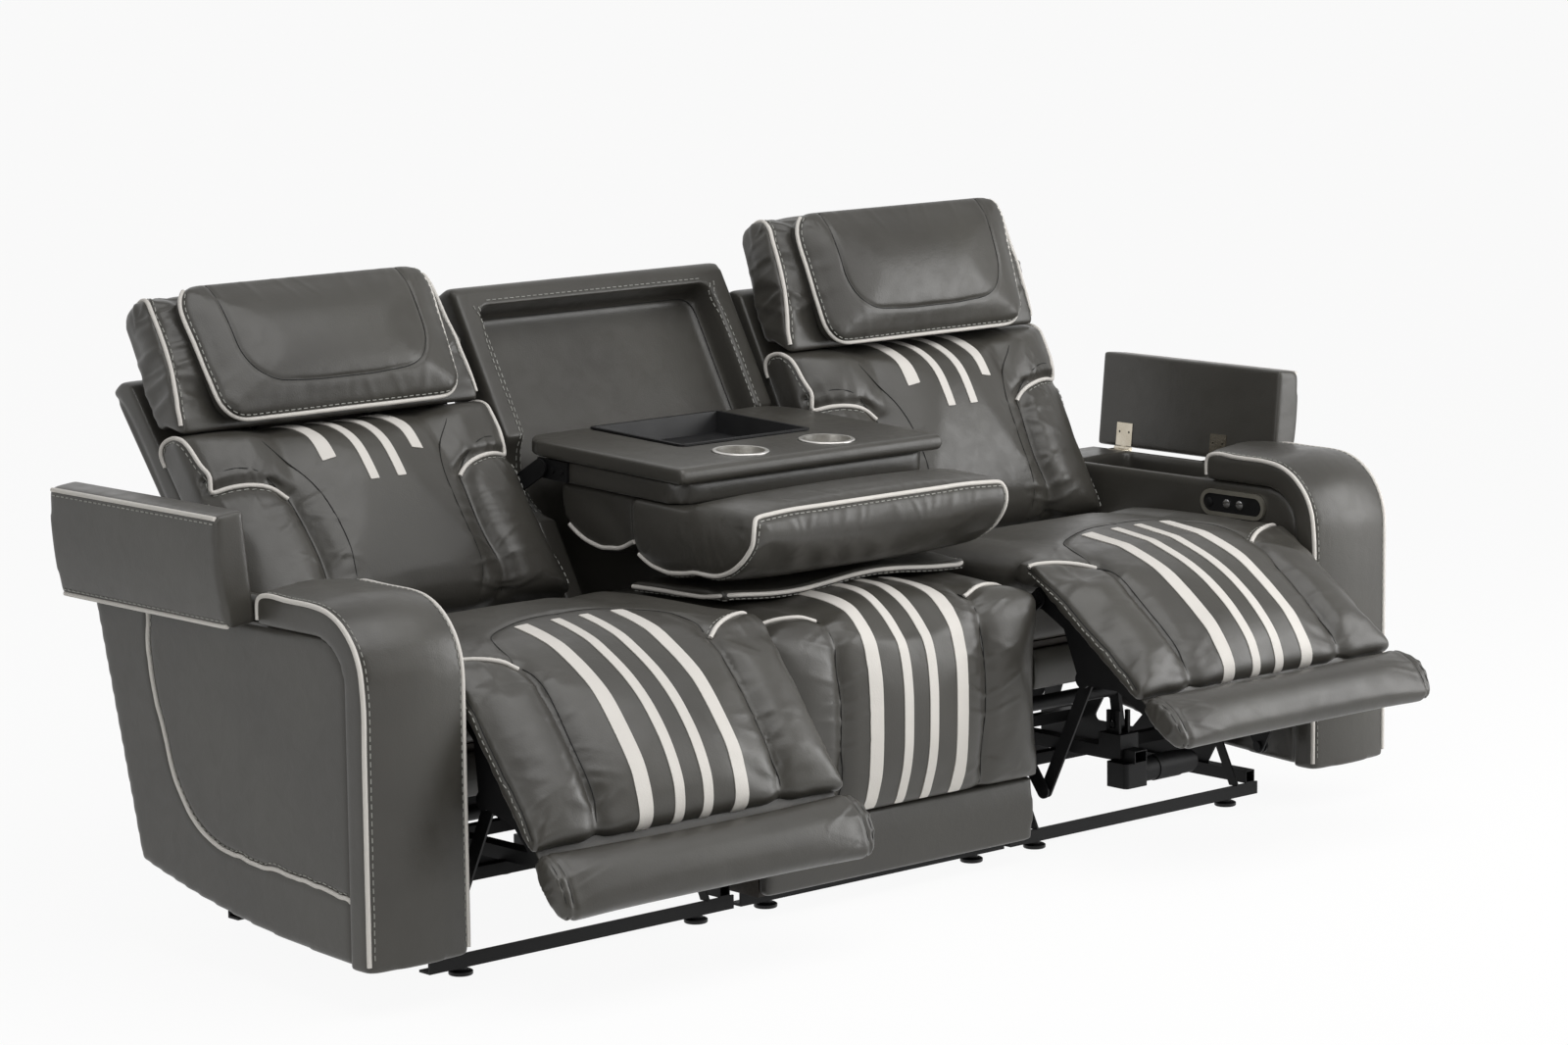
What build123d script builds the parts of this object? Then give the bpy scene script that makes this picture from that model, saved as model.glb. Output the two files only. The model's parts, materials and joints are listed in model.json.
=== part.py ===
from build123d import *
from math import cos, radians, sin
import os

# Power reclining sofa: two recliners with power footrests and headrests, and a centre
# seat whose back folds down into a table. Millimetres, X to the right, front towards -Y.
# The rest pose has the footrests part open, the backs reclined, the lids open and the
# table down. Lengths are worked from the arm width, the bay pitch and the pivots below.

# Arms
ARM_OUTER = 1120.0
ARM_WIDTH = 188.0
CAP_PROUD = 8.0
CAP_THICK = 58.0
CAP_RADIUS = 125.0
CAP_REAR = -223.0
ARM_FRONT = -490.0
ARM_TOP = 553.5
ARM_BOTTOM = 70.0
ARM_REAR_TOP = 218.0
ARM_REAR_BOTTOM = (108.0, 146.0)
ARM_KNEE = -335.0
WALL = 18.0
BIN_FLOOR = 310.0
BIN_FRONT = -195.0
BIN_REAR = 120.0
FIT_GAP = 0.3

# Lids and their hinges
LID_THICK = 58.0
LID_GAP = 3.0
LID_OPEN = 96.0
LID_HINGE = (1114.0, 555.0)
LID_HINGE_Y = (-83.0, 150.0)
LEAF_THICK = 1.2
LEAF_REACH = 42.0
FIXED_REACH = 15.0
KNUCKLE_R = 4.0
KNUCKLE_LEN = 13.0
HINGE_PIN_R = 1.8

# Switch panels on the inner faces of the arms
SWITCH_AT = (-286.0, 515.0)
SWITCH_LENGTH = 150.0
SWITCH_HEIGHT = 46.0
BEZEL_RIM = 7.0
BUTTON_Y = (-231.0, -273.0, -303.0)
BUTTON_R = 8.0

# Bays and floor parts
BAY_X = 614.0
SEAT_HALF = 311.0
CENTRE_HALF = 298.0
FOOT_HEIGHT = 13.0
FOOT_R = 19.0
FOOT_X = 236.0
CENTRE_FOOT_X = 230.0
RAIL_SIZE = 22.0
RAIL_WIDTH = 26.0
FRONT_RAIL_Y = -350.0
REAR_RAIL_Y = 140.0
DECK_TOP = 349.0
DECK_THICK = 19.0
DECK_FRONT = -342.0
APRON_LOW = 266.0
APRON_HALF = 240.0

# Recliner mechanism, as planes across the bay and pivots in the Y-Z plane
PLATE = 4.0
SIDE_PLATE_X = 284.0
BRACKET_X = 276.0
LINK_X = 268.0
COUPLER_X = 260.0
STAY_X = 245.0
STAY_WIDTH = 18.0
PIN_R = 5.0
PIN_SLACK = 0.1
OPEN_PIVOT_SLACK = 1.0
KNEE = (-410.0, 438.0)
DRIVE_PIVOT = (-310.0, 235.0)
COUPLER_AT = (150.0, -45.0)
LINK_WIDTH = 26.0
TUBE_R = 12.5
SPIGOT_R = 8.0
CRANK = 60.0
CRANK_MID = 45.0
BLOCK_PER_RAD = 55.6
TRACK_TOP = 135.0
BAR_TOP = 113.0

# Footrests: pad length from the knee pivot, flap beyond it, droop below level at rest
PAD_LENGTH = 284.0
PAD_TOP = 60.0
PAD_CROWN = 88.0
PAD_UNDER = 28.0
HEEL_UNDER = -22.0
FLAP_LENGTH = 110.0
FLAP_GAP = 5.0
SEAM_X = 182.0
LEFT_DROOP = 52.0
RIGHT_DROOP = 36.0

# Backs: pivot, heights above it, and lean from upright at rest
BACK_PIVOT = (60.0, 400.0)
BACK_BOTTOM = 42.0
BACK_TOP = 430.0
SHELL_TOP = 566.0
HEADREST_PIVOT = (-24.0, 840.0)
HEADREST_TOP = 654.0
HEADREST_HALF = 300.0
PILLOW_HALF = 252.0
PILLOW_TAPER = 18.0
HEADREST_NOD = 8.0
LEFT_LEAN = 38.0
RIGHT_LEAN = 28.0

# Centre seat, centre back and fold-down table
TABLE_PIVOT = (125.0, 668.0)
TABLE_DROOP = 2.0
TABLE_HALF = 288.0
TABLE_FRONT = -228.0
TABLE_REAR = 195.0
TABLE_TOP = 712.0
PAD_BASE = 684.0
BOARD_BASE = 648.0
BOARD_HALF = 278.0
TRAY_HALF = 143.0
TRAY_FRONT = -60.0
TRAY_REAR = 178.0
TRAY_DEPTH = 34.0
TRAY_WALL = 2.5
CUP_X = 95.0
CUP_Y = -150.0
CUP_R = 40.0
CUP_RIM = 47.0
FRAME_GAP = 46.0
FRAME_LEAN = 30.0
FRAME_TOP = 358.0
FRAME_DEPTH = 100.0
BOLSTER = 43.0
KICK_TOP = 146.0
KICK_BOTTOM = 38.0
PANEL_FRONT = -405.0

SIDES = (("left", -1), ("right", 1))
DROOP = {"left": LEFT_DROOP, "right": RIGHT_DROOP}
LEAN = {"left": LEFT_LEAN, "right": RIGHT_LEAN}

nodes = {}


def outline(start, *steps):
    """A closed face. A step is a point for a straight edge, or (via, end) for an arc."""
    edges = []
    here = start
    for step in steps:
        if isinstance(step[0], tuple):
            via, end = step
            edges.append(ThreePointArc(here, via, end))
        else:
            end = step
            edges.append(Line(here, end))
        here = end
    if here != start:
        edges.append(Line(here, start))
    return make_face(edges)


def across(face, low, high):
    """Extrude a Y-Z face along X."""
    return extrude(Plane.YZ.offset(low) * face, high - low)


def along(face, low, high):
    """Extrude an X-Z face along Y."""
    return extrude(Plane.XZ.offset(-low) * face, -(high - low))


def upward(face, low, high):
    """Extrude an X-Y face along Z."""
    return extrude(Plane.XY.offset(low) * face, high - low)


def block(x, y, z):
    """A box from three pairs of limits."""
    size = [pair[1] - pair[0] for pair in (x, y, z)]
    middle = [(pair[1] + pair[0]) / 2 for pair in (x, y, z)]
    return Pos(*middle) * Box(*size)


def rod(point, radius, low, high):
    """A cylinder along X through a Y-Z point."""
    return across(Pos(*point) * Circle(radius), low, high)


def tilt(shape, pivot, angle):
    """Turn about an X axis through a Y-Z point; positive lifts what lies in front."""
    return Pos(0, *pivot) * Rot(X=-angle) * Pos(0, -pivot[0], -pivot[1]) * shape


def mirrored(shape):
    return mirror(shape, Plane.YZ)


def both_sides(shape):
    return [shape, mirrored(shape)]


def lobes(half, seam, base, edge, valley, rise, middle_rise, tuck=6.0):
    """A cushion section: three crowned lobes between two seams, with drawn-in sides."""
    waist = (base + edge) / 2
    stops = [(half, edge), (seam, valley), (-seam, valley), (-half, edge)]
    steps = [(half, base), ((half - tuck, waist), (half, edge))]
    for (x0, z0), (x1, z1) in zip(stops, stops[1:]):
        crown = max(z0, z1) + (middle_rise if x0 + x1 == 0 else rise)
        steps.append((((x0 + x1) / 2, crown), (x1, z1)))
    steps.append(((-half + tuck, waist), (-half, base)))
    return outline((-half, base), *steps)


def link_face(a, b, width):
    """A flat bar with round ends between two points."""
    run = Vector(b[0] - a[0], b[1] - a[1])
    bar = SlotCenterToCenter(run.length, width)
    angle = Vector(1, 0).get_signed_angle(run, Vector(0, 0, 1))
    return Pos((a[0] + b[0]) / 2, (a[1] + b[1]) / 2) * Rot(Z=angle) * bar


def turned_point(point, pivot, angle):
    """Where a Y-Z point goes when tilted about a pivot."""
    y = point[0] - pivot[0]
    z = point[1] - pivot[1]
    c = cos(radians(angle))
    s = sin(radians(angle))
    return (pivot[0] + y * c + z * s, pivot[1] - y * s + z * c)


# Arms

ARM_INNER = ARM_OUTER - ARM_WIDTH
BODY_INNER = ARM_INNER + CAP_PROUD
BODY_OUTER = ARM_OUTER - CAP_PROUD
CAP_CENTRE = (ARM_FRONT + CAP_RADIUS, ARM_TOP + FIT_GAP + CAP_THICK - CAP_RADIUS)
CAP_INSIDE = CAP_RADIUS - CAP_THICK
DIAGONAL = cos(radians(45))


def hinge_cut(y):
    """Room for the hinge knuckles in the arm's rim and the lid's edge."""
    length = 3 * KNUCKLE_LEN + 2
    hole = Pos(*LID_HINGE) * Circle(KNUCKLE_R + 0.6)
    return along(hole, y - length / 2, y + length / 2)


def switch_outline(margin):
    """The stadium of the switch panel, shrunk by a margin all round."""
    height = SWITCH_HEIGHT - 2 * margin
    shape = SlotCenterToCenter(SWITCH_LENGTH - SWITCH_HEIGHT, height)
    return Pos(*SWITCH_AT) * shape


def arm_body():
    front = CAP_CENTRE[0] - CAP_INSIDE + FIT_GAP
    radius = CAP_INSIDE - FIT_GAP
    turn = (CAP_CENTRE[0] - radius * DIAGONAL, CAP_CENTRE[1] + radius * DIAGONAL)
    profile = outline(
        (front, ARM_BOTTOM),
        (front, CAP_CENTRE[1]),
        (turn, (CAP_CENTRE[0], ARM_TOP)),
        (ARM_REAR_TOP, ARM_TOP),
        ARM_REAR_BOTTOM,
        ((-95.0, 102.0), (ARM_KNEE, ARM_BOTTOM + 6)),
    )
    body = across(profile, BODY_INNER, BODY_OUTER)
    body -= block((BODY_INNER + WALL, BODY_OUTER - WALL), (BIN_FRONT, BIN_REAR),
                  (BIN_FLOOR, ARM_TOP + 1))
    body -= across(switch_outline(BEZEL_RIM + 3), BODY_INNER, BODY_INNER + 16)
    for y in LID_HINGE_Y:
        body -= hinge_cut(y)
    return body


def arm_cap():
    """The padded J that runs up the front and back over the top, crowned across."""
    inside = CAP_INSIDE
    turn = (CAP_CENTRE[0] - inside * DIAGONAL, CAP_CENTRE[1] + inside * DIAGONAL)
    top = CAP_CENTRE[1] + inside
    front = CAP_CENTRE[0] - inside
    path = Wire([
        Line((CAP_REAR, top), (CAP_CENTRE[0], top)).edge(),
        ThreePointArc((CAP_CENTRE[0], top), turn, (front, CAP_CENTRE[1])).edge(),
        Line((front, CAP_CENTRE[1]), (front, ARM_BOTTOM - 2)).edge(),
    ])
    path = Plane.YZ * path
    half = ARM_WIDTH / 2
    soft = 12.0
    edge = CAP_THICK - 8.0
    section = outline(
        (-half, 0.0),
        (half, 0.0),
        (half, edge - soft),
        ((half - soft * 0.3, edge - soft * 0.3), (half - soft, edge)),
        ((0.0, CAP_THICK), (-half + soft, edge)),
        ((-half + soft * 0.3, edge - soft * 0.3), (-half, edge - soft)),
    )
    start = Plane(origin=(0, CAP_REAR, top), x_dir=(1, 0, 0), z_dir=(0, -1, 0))
    cap = sweep(start * section, path=path)
    return Pos(ARM_INNER + half, 0, 0) * cap


def arm_lid():
    """The storage lid, closed: crowned top with soft edges."""
    base = ARM_TOP + LID_GAP
    top = base + LID_THICK
    soft = 14.0
    section = outline(
        (BODY_INNER, base),
        (BODY_OUTER, base),
        (BODY_OUTER, top - 6 - soft),
        ((BODY_OUTER - soft * 0.3, top - 6 - soft * 0.3), (BODY_OUTER - soft, top - 6)),
        (((BODY_INNER + BODY_OUTER) / 2, top), (BODY_INNER + soft, top - 6)),
        ((BODY_INNER + soft * 0.3, top - 6 - soft * 0.3), (BODY_INNER, top - 6 - soft)),
    )
    lid = along(section, CAP_REAR + 3, ARM_REAR_TOP)
    for y in LID_HINGE_Y:
        lid -= hinge_cut(y)
    return lid


def hinge_leaf(y, on_lid):
    """One leaf of a butt hinge; the fixed leaf has the outer knuckles and the pin."""
    low = ARM_TOP + LID_GAP - LEAF_THICK if on_lid else ARM_TOP
    width = 3 * KNUCKLE_LEN
    barrel = Pos(*LID_HINGE) * Circle(KNUCKLE_R)
    pin = Pos(*LID_HINGE) * Circle(HINGE_PIN_R)
    reach = LID_HINGE[0] - KNUCKLE_R - 1
    length = LEAF_REACH if on_lid else FIXED_REACH
    leaf = block((reach - length, reach), (y - width / 2, y + width / 2),
                 (low, low + LEAF_THICK))
    for step in (-0.3, 0.3):
        leaf -= Pos(reach - length * 0.6, y + step * width, low) * Cylinder(2.2, 4 * LEAF_THICK)
    middle = (y - KNUCKLE_LEN / 2, y + KNUCKLE_LEN / 2)
    if on_lid:
        spans = [(middle[0] + 0.3, middle[1] - 0.3)]
    else:
        spans = [(y - width / 2, middle[0]), (middle[1], y + width / 2)]
    for span in spans:
        leaf += along(barrel, *span)
        leaf += block((reach - 1, LID_HINGE[0]), span, (low, low + LEAF_THICK))
    if on_lid:
        bore = Pos(*LID_HINGE) * Circle(HINGE_PIN_R + 0.05)
        return leaf - along(bore, y - width, y + width)
    return leaf + along(pin, y - width / 2, y + width / 2)


def open_lid(shape):
    """Swing a closed right-hand lid piece out to its open stop."""
    x, z = LID_HINGE
    return Pos(x, 0, z) * Rot(Y=LID_OPEN) * Pos(-x, 0, -z) * shape


def switch_bezel():
    ring = switch_outline(0) - switch_outline(BEZEL_RIM)
    return across(ring, BODY_INNER - 6, BODY_INNER)


def switch_face():
    face = across(switch_outline(BEZEL_RIM + 0.2), BODY_INNER - 4, BODY_INNER)
    for y in BUTTON_Y:
        face -= rod((y, SWITCH_AT[1]), BUTTON_R + 0.4, BODY_INNER - 10, BODY_INNER + 10)
    return face


def button(y):
    """A push button with a domed face."""
    centre = (y, SWITCH_AT[1])
    cap = rod(centre, BUTTON_R, BODY_INNER - 7, BODY_INNER + 8)
    dome = 22.0
    ball = Pos(BODY_INNER - 7 + dome, *centre) * Sphere(dome)
    cap &= ball + rod(centre, BUTTON_R + 1, BODY_INNER, BODY_INNER + 8)
    return cap + rod(centre, BUTTON_R + 1.8, BODY_INNER + 0.2, BODY_INNER + 2)


def placed(shape, sign):
    """Right-hand shapes as built, left-hand ones mirrored."""
    return shape if sign > 0 else mirrored(shape)


def make_arms():
    caps = []
    fixed_leaves = []
    bezels = []
    faces = []
    for side, sign in SIDES:
        nodes[f"{side}_arm_body"] = [placed(arm_body(), sign)]
        caps.append(placed(arm_cap(), sign))
        nodes[f"{side}_arm_lid"] = [placed(open_lid(arm_lid()), sign)]
        lid_leaves = []
        for y in LID_HINGE_Y:
            fixed_leaves.append(placed(hinge_leaf(y, False), sign))
            lid_leaves.append(placed(open_lid(hinge_leaf(y, True)), sign))
        nodes[f"{side}_lid_hinge_leaves"] = lid_leaves
        bezels.append(placed(switch_bezel(), sign))
        faces.append(placed(switch_face(), sign))
        for name, y in zip(("power", "recline", "headrest"), BUTTON_Y):
            nodes[f"{side}_{name}_button"] = [placed(button(y), sign)]
    nodes["arm_caps"] = caps
    nodes["lid_hinge_bases"] = fixed_leaves
    nodes["switch_bezels"] = bezels
    nodes["switch_faces"] = faces


# Floor parts and fixed steelwork

RAIL_LOW = FOOT_HEIGHT
RAIL_HIGH = FOOT_HEIGHT + RAIL_SIZE
SIDE_RAIL_TOP = RAIL_HIGH + RAIL_SIZE


def angle_bar(y, half):
    """An L-section rail along X."""
    low = y - RAIL_WIDTH / 2
    section = outline(
        (low, RAIL_LOW),
        (low + RAIL_WIDTH, RAIL_LOW),
        (low + RAIL_WIDTH, RAIL_LOW + PLATE),
        (low + PLATE, RAIL_LOW + PLATE),
        (low + PLATE, RAIL_HIGH),
        (low, RAIL_HIGH),
    )
    if y > 0:
        section = mirror(section, Plane.YZ.offset(y))
    return across(section, -half, half)


def square_tube(x, y, z):
    """A rectangular tube between limits, hollow along its longest side."""
    sizes = [pair[1] - pair[0] for pair in (x, y, z)]
    long_way = sizes.index(max(sizes))
    inner = []
    for number, pair in enumerate((x, y, z)):
        inset = -1.0 if number == long_way else 2.0
        inner.append((pair[0] + inset, pair[1] - inset))
    return block(x, y, z) - block(*inner)


def bay_rails():
    """Rails of one bay, centred on the bay: front, rear, two sides and two cross bars."""
    reach = SEAT_HALF - 6
    rails = [angle_bar(FRONT_RAIL_Y, reach), angle_bar(REAR_RAIL_Y, reach)]
    side_x = SIDE_PLATE_X + PLATE / 2
    ends = (FRONT_RAIL_Y - RAIL_WIDTH / 2, REAR_RAIL_Y + RAIL_WIDTH / 2)
    for x in (-side_x, side_x):
        rails.append(square_tube((x - RAIL_SIZE / 2, x + RAIL_SIZE / 2), ends,
                                 (RAIL_HIGH, SIDE_RAIL_TOP)))
    for y in (-180.0, 60.0):
        rails.append(square_tube((-SIDE_PLATE_X, SIDE_PLATE_X), (y - 10, y + 10),
                                 (BAR_TOP - 20, BAR_TOP)))
    return rails


def arm_ties(sign):
    """Short tubes that hold the arm and the centre box to a bay's side plates."""
    plate_out = BAY_X + SIDE_PLATE_X + PLATE
    plate_in = BAY_X - SIDE_PLATE_X - PLATE
    ties = []
    for y in (-150.0, 30.0):
        for low, high in ((plate_out, BODY_INNER), (CENTRE_HALF - 4, plate_in)):
            ties.append(placed(square_tube((low, high), (y - 13, y + 13), (180, 206)), sign))
    return ties


def foot(x, y):
    """A round glide foot with a soft rim and a neck."""
    neck = FOOT_R * 0.55
    profile = outline(
        (0.0, 0.0),
        (FOOT_R - 2, 0.0),
        ((FOOT_R - 0.5, 0.9), (FOOT_R, 3.0)),
        (FOOT_R, 6.0),
        ((FOOT_R - 3.5, 8.0), (neck, 8.5)),
        (neck, FOOT_HEIGHT),
        (0.0, FOOT_HEIGHT),
    )
    return Pos(x, y, 0) * revolve(Plane.XZ * profile, Axis.Z)


def side_plate():
    """One mechanism side plate with its bosses, lightening windows and fixed pivot pins."""
    boss = 24.0
    y_k, z_k = KNEE
    y_a, z_a = DRIVE_PIVOT
    y_h, z_h = BACK_PIVOT
    deck = DECK_TOP - DECK_THICK
    web = outline(
        (-262.0, SIDE_RAIL_TOP),
        (150.0, SIDE_RAIL_TOP),
        (150.0, 100.0),
        (y_h + boss, deck),
        (y_h + boss, z_h),
        (y_h - boss, z_h),
        (y_h - boss, deck),
        (-352.0, deck),
        (-352.0, z_k - 25),
        (-380.0, z_k - 38),
        (-380.0, 300.0),
        (y_a - boss, z_a),
        (y_a - 8, 150.0),
    )
    web += link_face(KNEE, (-367.0, 402.0), 2 * boss - 20)
    web += Pos(*BACK_PIVOT) * Circle(boss)
    web += Pos(*DRIVE_PIVOT) * Circle(boss)
    windows = [
        ((-240, 85), (-120, 85), (-205, 180)),
        ((-185, 205), (-80, 95), (20, 95), (-100, 290)),
        ((-60, 300), (55, 115), (110, 115), (40, 300)),
        ((-270, 275), (-205, 215), (-140, 300), (-262, 300)),
    ]
    for points in windows:
        web -= fillet(make_face(Polyline(*points, close=True)).vertices(), 9)
    web -= Pos(*DRIVE_PIVOT) * Circle(SPIGOT_R + PIN_SLACK)
    plate = across(web, SIDE_PLATE_X, SIDE_PLATE_X + PLATE)
    for pivot in (KNEE, BACK_PIVOT):
        plate += rod(pivot, PIN_R, BRACKET_X - 2, SIDE_PLATE_X + PLATE + 2)
        plate += rod(pivot, PIN_R + 4, SIDE_PLATE_X + PLATE, SIDE_PLATE_X + PLATE + 3)
    return plate


def stays():
    """Crossed flat bars that brace one bay's deck from its rail and its front cross bar."""
    deck = DECK_TOP - DECK_THICK
    rail = FRONT_RAIL_Y - RAIL_WIDTH / 2 + PLATE / 2
    runs = [
        ((rail, RAIL_HIGH), (-215.0, deck)),
        ((-182.0, BAR_TOP), (-338.0, deck)),
        ((-178.0, BAR_TOP), (-40.0, deck)),
    ]
    bars = []
    for low, high in runs:
        face = link_face(low, high, STAY_WIDTH)
        face &= make_face(Polyline((-500, low[1]), (200, low[1]), (200, deck), (-500, deck),
                                   close=True))
        bars += both_sides(across(face, STAY_X, STAY_X + PLATE))
    return bars


def make_floor_parts():
    braces = []
    rails = [angle_bar(FRONT_RAIL_Y, CENTRE_HALF - 4), angle_bar(REAR_RAIL_Y, CENTRE_HALF - 4)]
    feet = []
    spots = [-CENTRE_FOOT_X, CENTRE_FOOT_X]
    for side, sign in SIDES:
        move = Pos(sign * BAY_X, 0, 0)
        rails += [move * rail for rail in bay_rails()]
        rails += arm_ties(sign)
        spots += [sign * BAY_X - FOOT_X, sign * BAY_X + FOOT_X]
        braces += [move * bar for bar in stays()]
        nodes[f"{side}_side_plates"] = [move * plate for plate in both_sides(side_plate())]
    for x in spots:
        feet += [foot(x, FRONT_RAIL_Y), foot(x, REAR_RAIL_Y)]
    nodes["base_rails"] = rails
    nodes["mechanism_stays"] = braces
    nodes["feet"] = feet


# Footrest linkage: a parallelogram whose links stay at one ratio to the footrest

def droop_point(point, droop):
    """A point of the level footrest, given from the knee, after it droops."""
    level = (KNEE[0] - point[0], KNEE[1] + point[1])
    return turned_point(level, KNEE, -droop)


def coupler_pivot(droop):
    return droop_point(COUPLER_AT, droop)


def link_end(droop):
    upper = coupler_pivot(droop)
    return (DRIVE_PIVOT[0] + upper[0] - KNEE[0], DRIVE_PIVOT[1] + upper[1] - KNEE[1])


def rivet(point, low, high):
    """A pin with a head at its low end."""
    return rod(point, PIN_R, low, high) + rod(point, PIN_R + 3, low, low + 2)


def crank_pin(droop):
    start = (DRIVE_PIVOT[0], DRIVE_PIVOT[1] - CRANK)
    return turned_point(start, DRIVE_PIVOT, CRANK_MID - droop)


def drive_link(droop):
    """Torque tube with a link at each end and a crank in the middle."""
    end = link_end(droop)
    tube = rod(DRIVE_PIVOT, TUBE_R, -LINK_X - PLATE - 2, LINK_X + PLATE + 2)
    tip = SIDE_PLATE_X + PLATE + 2
    link = tube + rod(DRIVE_PIVOT, SPIGOT_R, -tip, tip)
    arm = across(link_face(DRIVE_PIVOT, end, LINK_WIDTH), LINK_X, LINK_X + PLATE)
    arm += rivet(end, COUPLER_X - 4, LINK_X + 1)
    for shape in both_sides(arm):
        link += shape
    pin = crank_pin(droop)
    link += across(link_face(DRIVE_PIVOT, pin, 22), -PLATE, PLATE)
    link += rod(pin, PIN_R, -16, 16)
    return link


def coupler(droop):
    """The bar from the footrest down to the drive link, with its opened lower pivot."""
    upper = coupler_pivot(droop)
    lower = link_end(droop)
    face = link_face(upper, lower, LINK_WIDTH - 2)
    face -= Pos(*upper) * Circle(PIN_R + PIN_SLACK)
    face -= Pos(*lower) * Circle(PIN_R + OPEN_PIVOT_SLACK)
    return across(face, COUPLER_X, COUPLER_X + PLATE)


def drive_block(droop):
    """The nut block that slides on the track, with a fork round the crank pin."""
    y = DRIVE_PIVOT[0] - BLOCK_PER_RAD * radians(CRANK_MID - droop)
    base = TRACK_TOP + 0.5
    floor = DRIVE_PIVOT[1] - CRANK - 15
    top = DRIVE_PIVOT[1] - 36
    slot = PIN_R + 2.2
    body = block((-22, 22), (y - 26, y + 26), (base, floor))
    fork = block((8, 14), (y - 15, y + 15), (floor, top))
    fork -= block((0, 20), (y - slot, y + slot), (floor + 8, top + 1))
    for shape in both_sides(fork):
        body += shape
    for x in (-22, 22):
        inner = 15.5 if x > 0 else -15.5
        body += block(sorted((x, inner)), (y - 26, y + 26), (base - 16, base))
    return body


def actuator():
    """Fixed track, gearbox and motor of one footrest drive."""
    track = square_tube((-15, 15), (-372, 75), (BAR_TOP, TRACK_TOP))
    gear = block((-30, 26), (-366, -316), (70, BAR_TOP))
    gear = fillet(gear.edges().filter_by(Axis.Z), 8)
    motor = rod((-341, 92), 21, 26, 150) + rod((-341, 92), 17, 150, 158)
    motor += rod((-341, 92), 22.5, 60, 120)
    return [track, gear, motor]


# Footrests

def pad_profile():
    """Footrest pad in the Y-Z plane, level, from the knee pivot at the origin."""
    nose = PAD_TOP
    back = 75.0
    heel = (nose * sin(radians(back)), nose * cos(radians(back)))
    over = (nose * sin(radians(back / 2)), nose * cos(radians(back / 2)))
    inner = (PAD_UNDER * sin(radians(back)), PAD_UNDER * cos(radians(back)))
    under = (PAD_UNDER * sin(radians(back / 2)), PAD_UNDER * cos(radians(back / 2)))
    end = -PAD_LENGTH
    return outline(
        (0.0, nose),
        ((end * 0.5, PAD_CROWN), (end + 18, nose + 2)),
        ((end, (nose + PAD_UNDER) / 2), (end + 12, PAD_UNDER)),
        (0.0, PAD_UNDER),
        (under, inner),
        heel,
        (over, (0.0, nose)),
    )


def footrest_pad():
    body = across(pad_profile(), -SEAT_HALF, SEAT_HALF)
    section = lobes(SEAT_HALF, SEAM_X, HEEL_UNDER, PAD_TOP - 8, PAD_TOP + 6, 12, 22)
    body &= along(section, -PAD_LENGTH - 20, PAD_TOP + 10)
    for x in (-SIDE_PLATE_X, SIDE_PLATE_X):
        body -= rod((0, 0), PAD_TOP - 12, x - 13, x + 13)
    return Pos(0, *KNEE) * body


def footrest_flap():
    """The roll beyond the pad, rounded all round and drawn in at its ends."""
    start = -(PAD_LENGTH + FLAP_GAP)
    end = start - FLAP_LENGTH
    profile = outline(
        (start - 6, PAD_UNDER),
        ((start, PAD_UNDER + 18), (start - 10, PAD_UNDER + 34)),
        (((start + end) / 2, PAD_UNDER + 44), (end + 18, PAD_UNDER + 33)),
        ((end, PAD_UNDER + 15), (end + 10, PAD_UNDER)),
    )
    ends = SEAT_HALF + 3
    mid = (start + end) / 2
    plan = outline(
        (-ends + 8, start + 2),
        (ends - 8, start + 2),
        ((ends, mid), (ends - 10, end - 2)),
        (-ends + 10, end - 2),
        ((-ends, mid), (-ends + 8, start + 2)),
    )
    roll = across(profile, -ends, ends) & upward(plan, PAD_UNDER - 1, PAD_UNDER + 60)
    return Pos(0, *KNEE) * roll


def footrest_frame():
    """Ply board, side brackets with knee bosses, and the couplers' upper pins."""
    board_half = COUPLER_X - 2
    low = PAD_UNDER - 12
    board = block((-board_half, board_half), (-PAD_LENGTH + 10, -25), (low, PAD_UNDER))
    reach = -PAD_LENGTH - FLAP_GAP - FLAP_LENGTH * 0.7
    point = (-COUPLER_AT[0], COUPLER_AT[1])
    lug = 15.0
    face = outline(
        (-4.0, 16.0),
        (-40.0, PAD_UNDER),
        (reach, PAD_UNDER),
        (reach, PAD_UNDER - 14),
        (point[0] - 70, PAD_UNDER - 33),
        (point[0] - lug, point[1]),
        (point[0] + lug, point[1]),
        (-70.0, PAD_UNDER - 33),
        (6.0, -15.0),
    )
    face += Pos(*point) * Circle(lug)
    face += Circle(18)
    face -= Circle(PIN_R + PIN_SLACK)
    bracket = across(face, BRACKET_X, BRACKET_X + PLATE)
    bracket += rivet(point, COUPLER_X - 4, BRACKET_X + 1)
    bracket += block((board_half - 1, BRACKET_X + 1), (-272, -218), (low, PAD_UNDER))
    for shape in both_sides(bracket):
        board += shape
    return Pos(0, *KNEE) * board


def make_footrests():
    actuators = []
    for side, sign in SIDES:
        move = Pos(sign * BAY_X, 0, 0)
        droop = DROOP[side]
        parts = {
            "footrest_pad": footrest_pad(),
            "footrest_flap": footrest_flap(),
            "footrest_frame": footrest_frame(),
        }
        for name, shape in parts.items():
            nodes[f"{side}_{name}"] = [move * tilt(shape, KNEE, -droop)]
        nodes[f"{side}_drive_link"] = [move * drive_link(droop)]
        nodes[f"{side}_couplers"] = [move * shape for shape in both_sides(coupler(droop))]
        nodes[f"{side}_drive_block"] = [move * drive_block(droop)]
        actuators += [move * shape for shape in actuator()]
    nodes["actuators"] = actuators


# Seats

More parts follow.
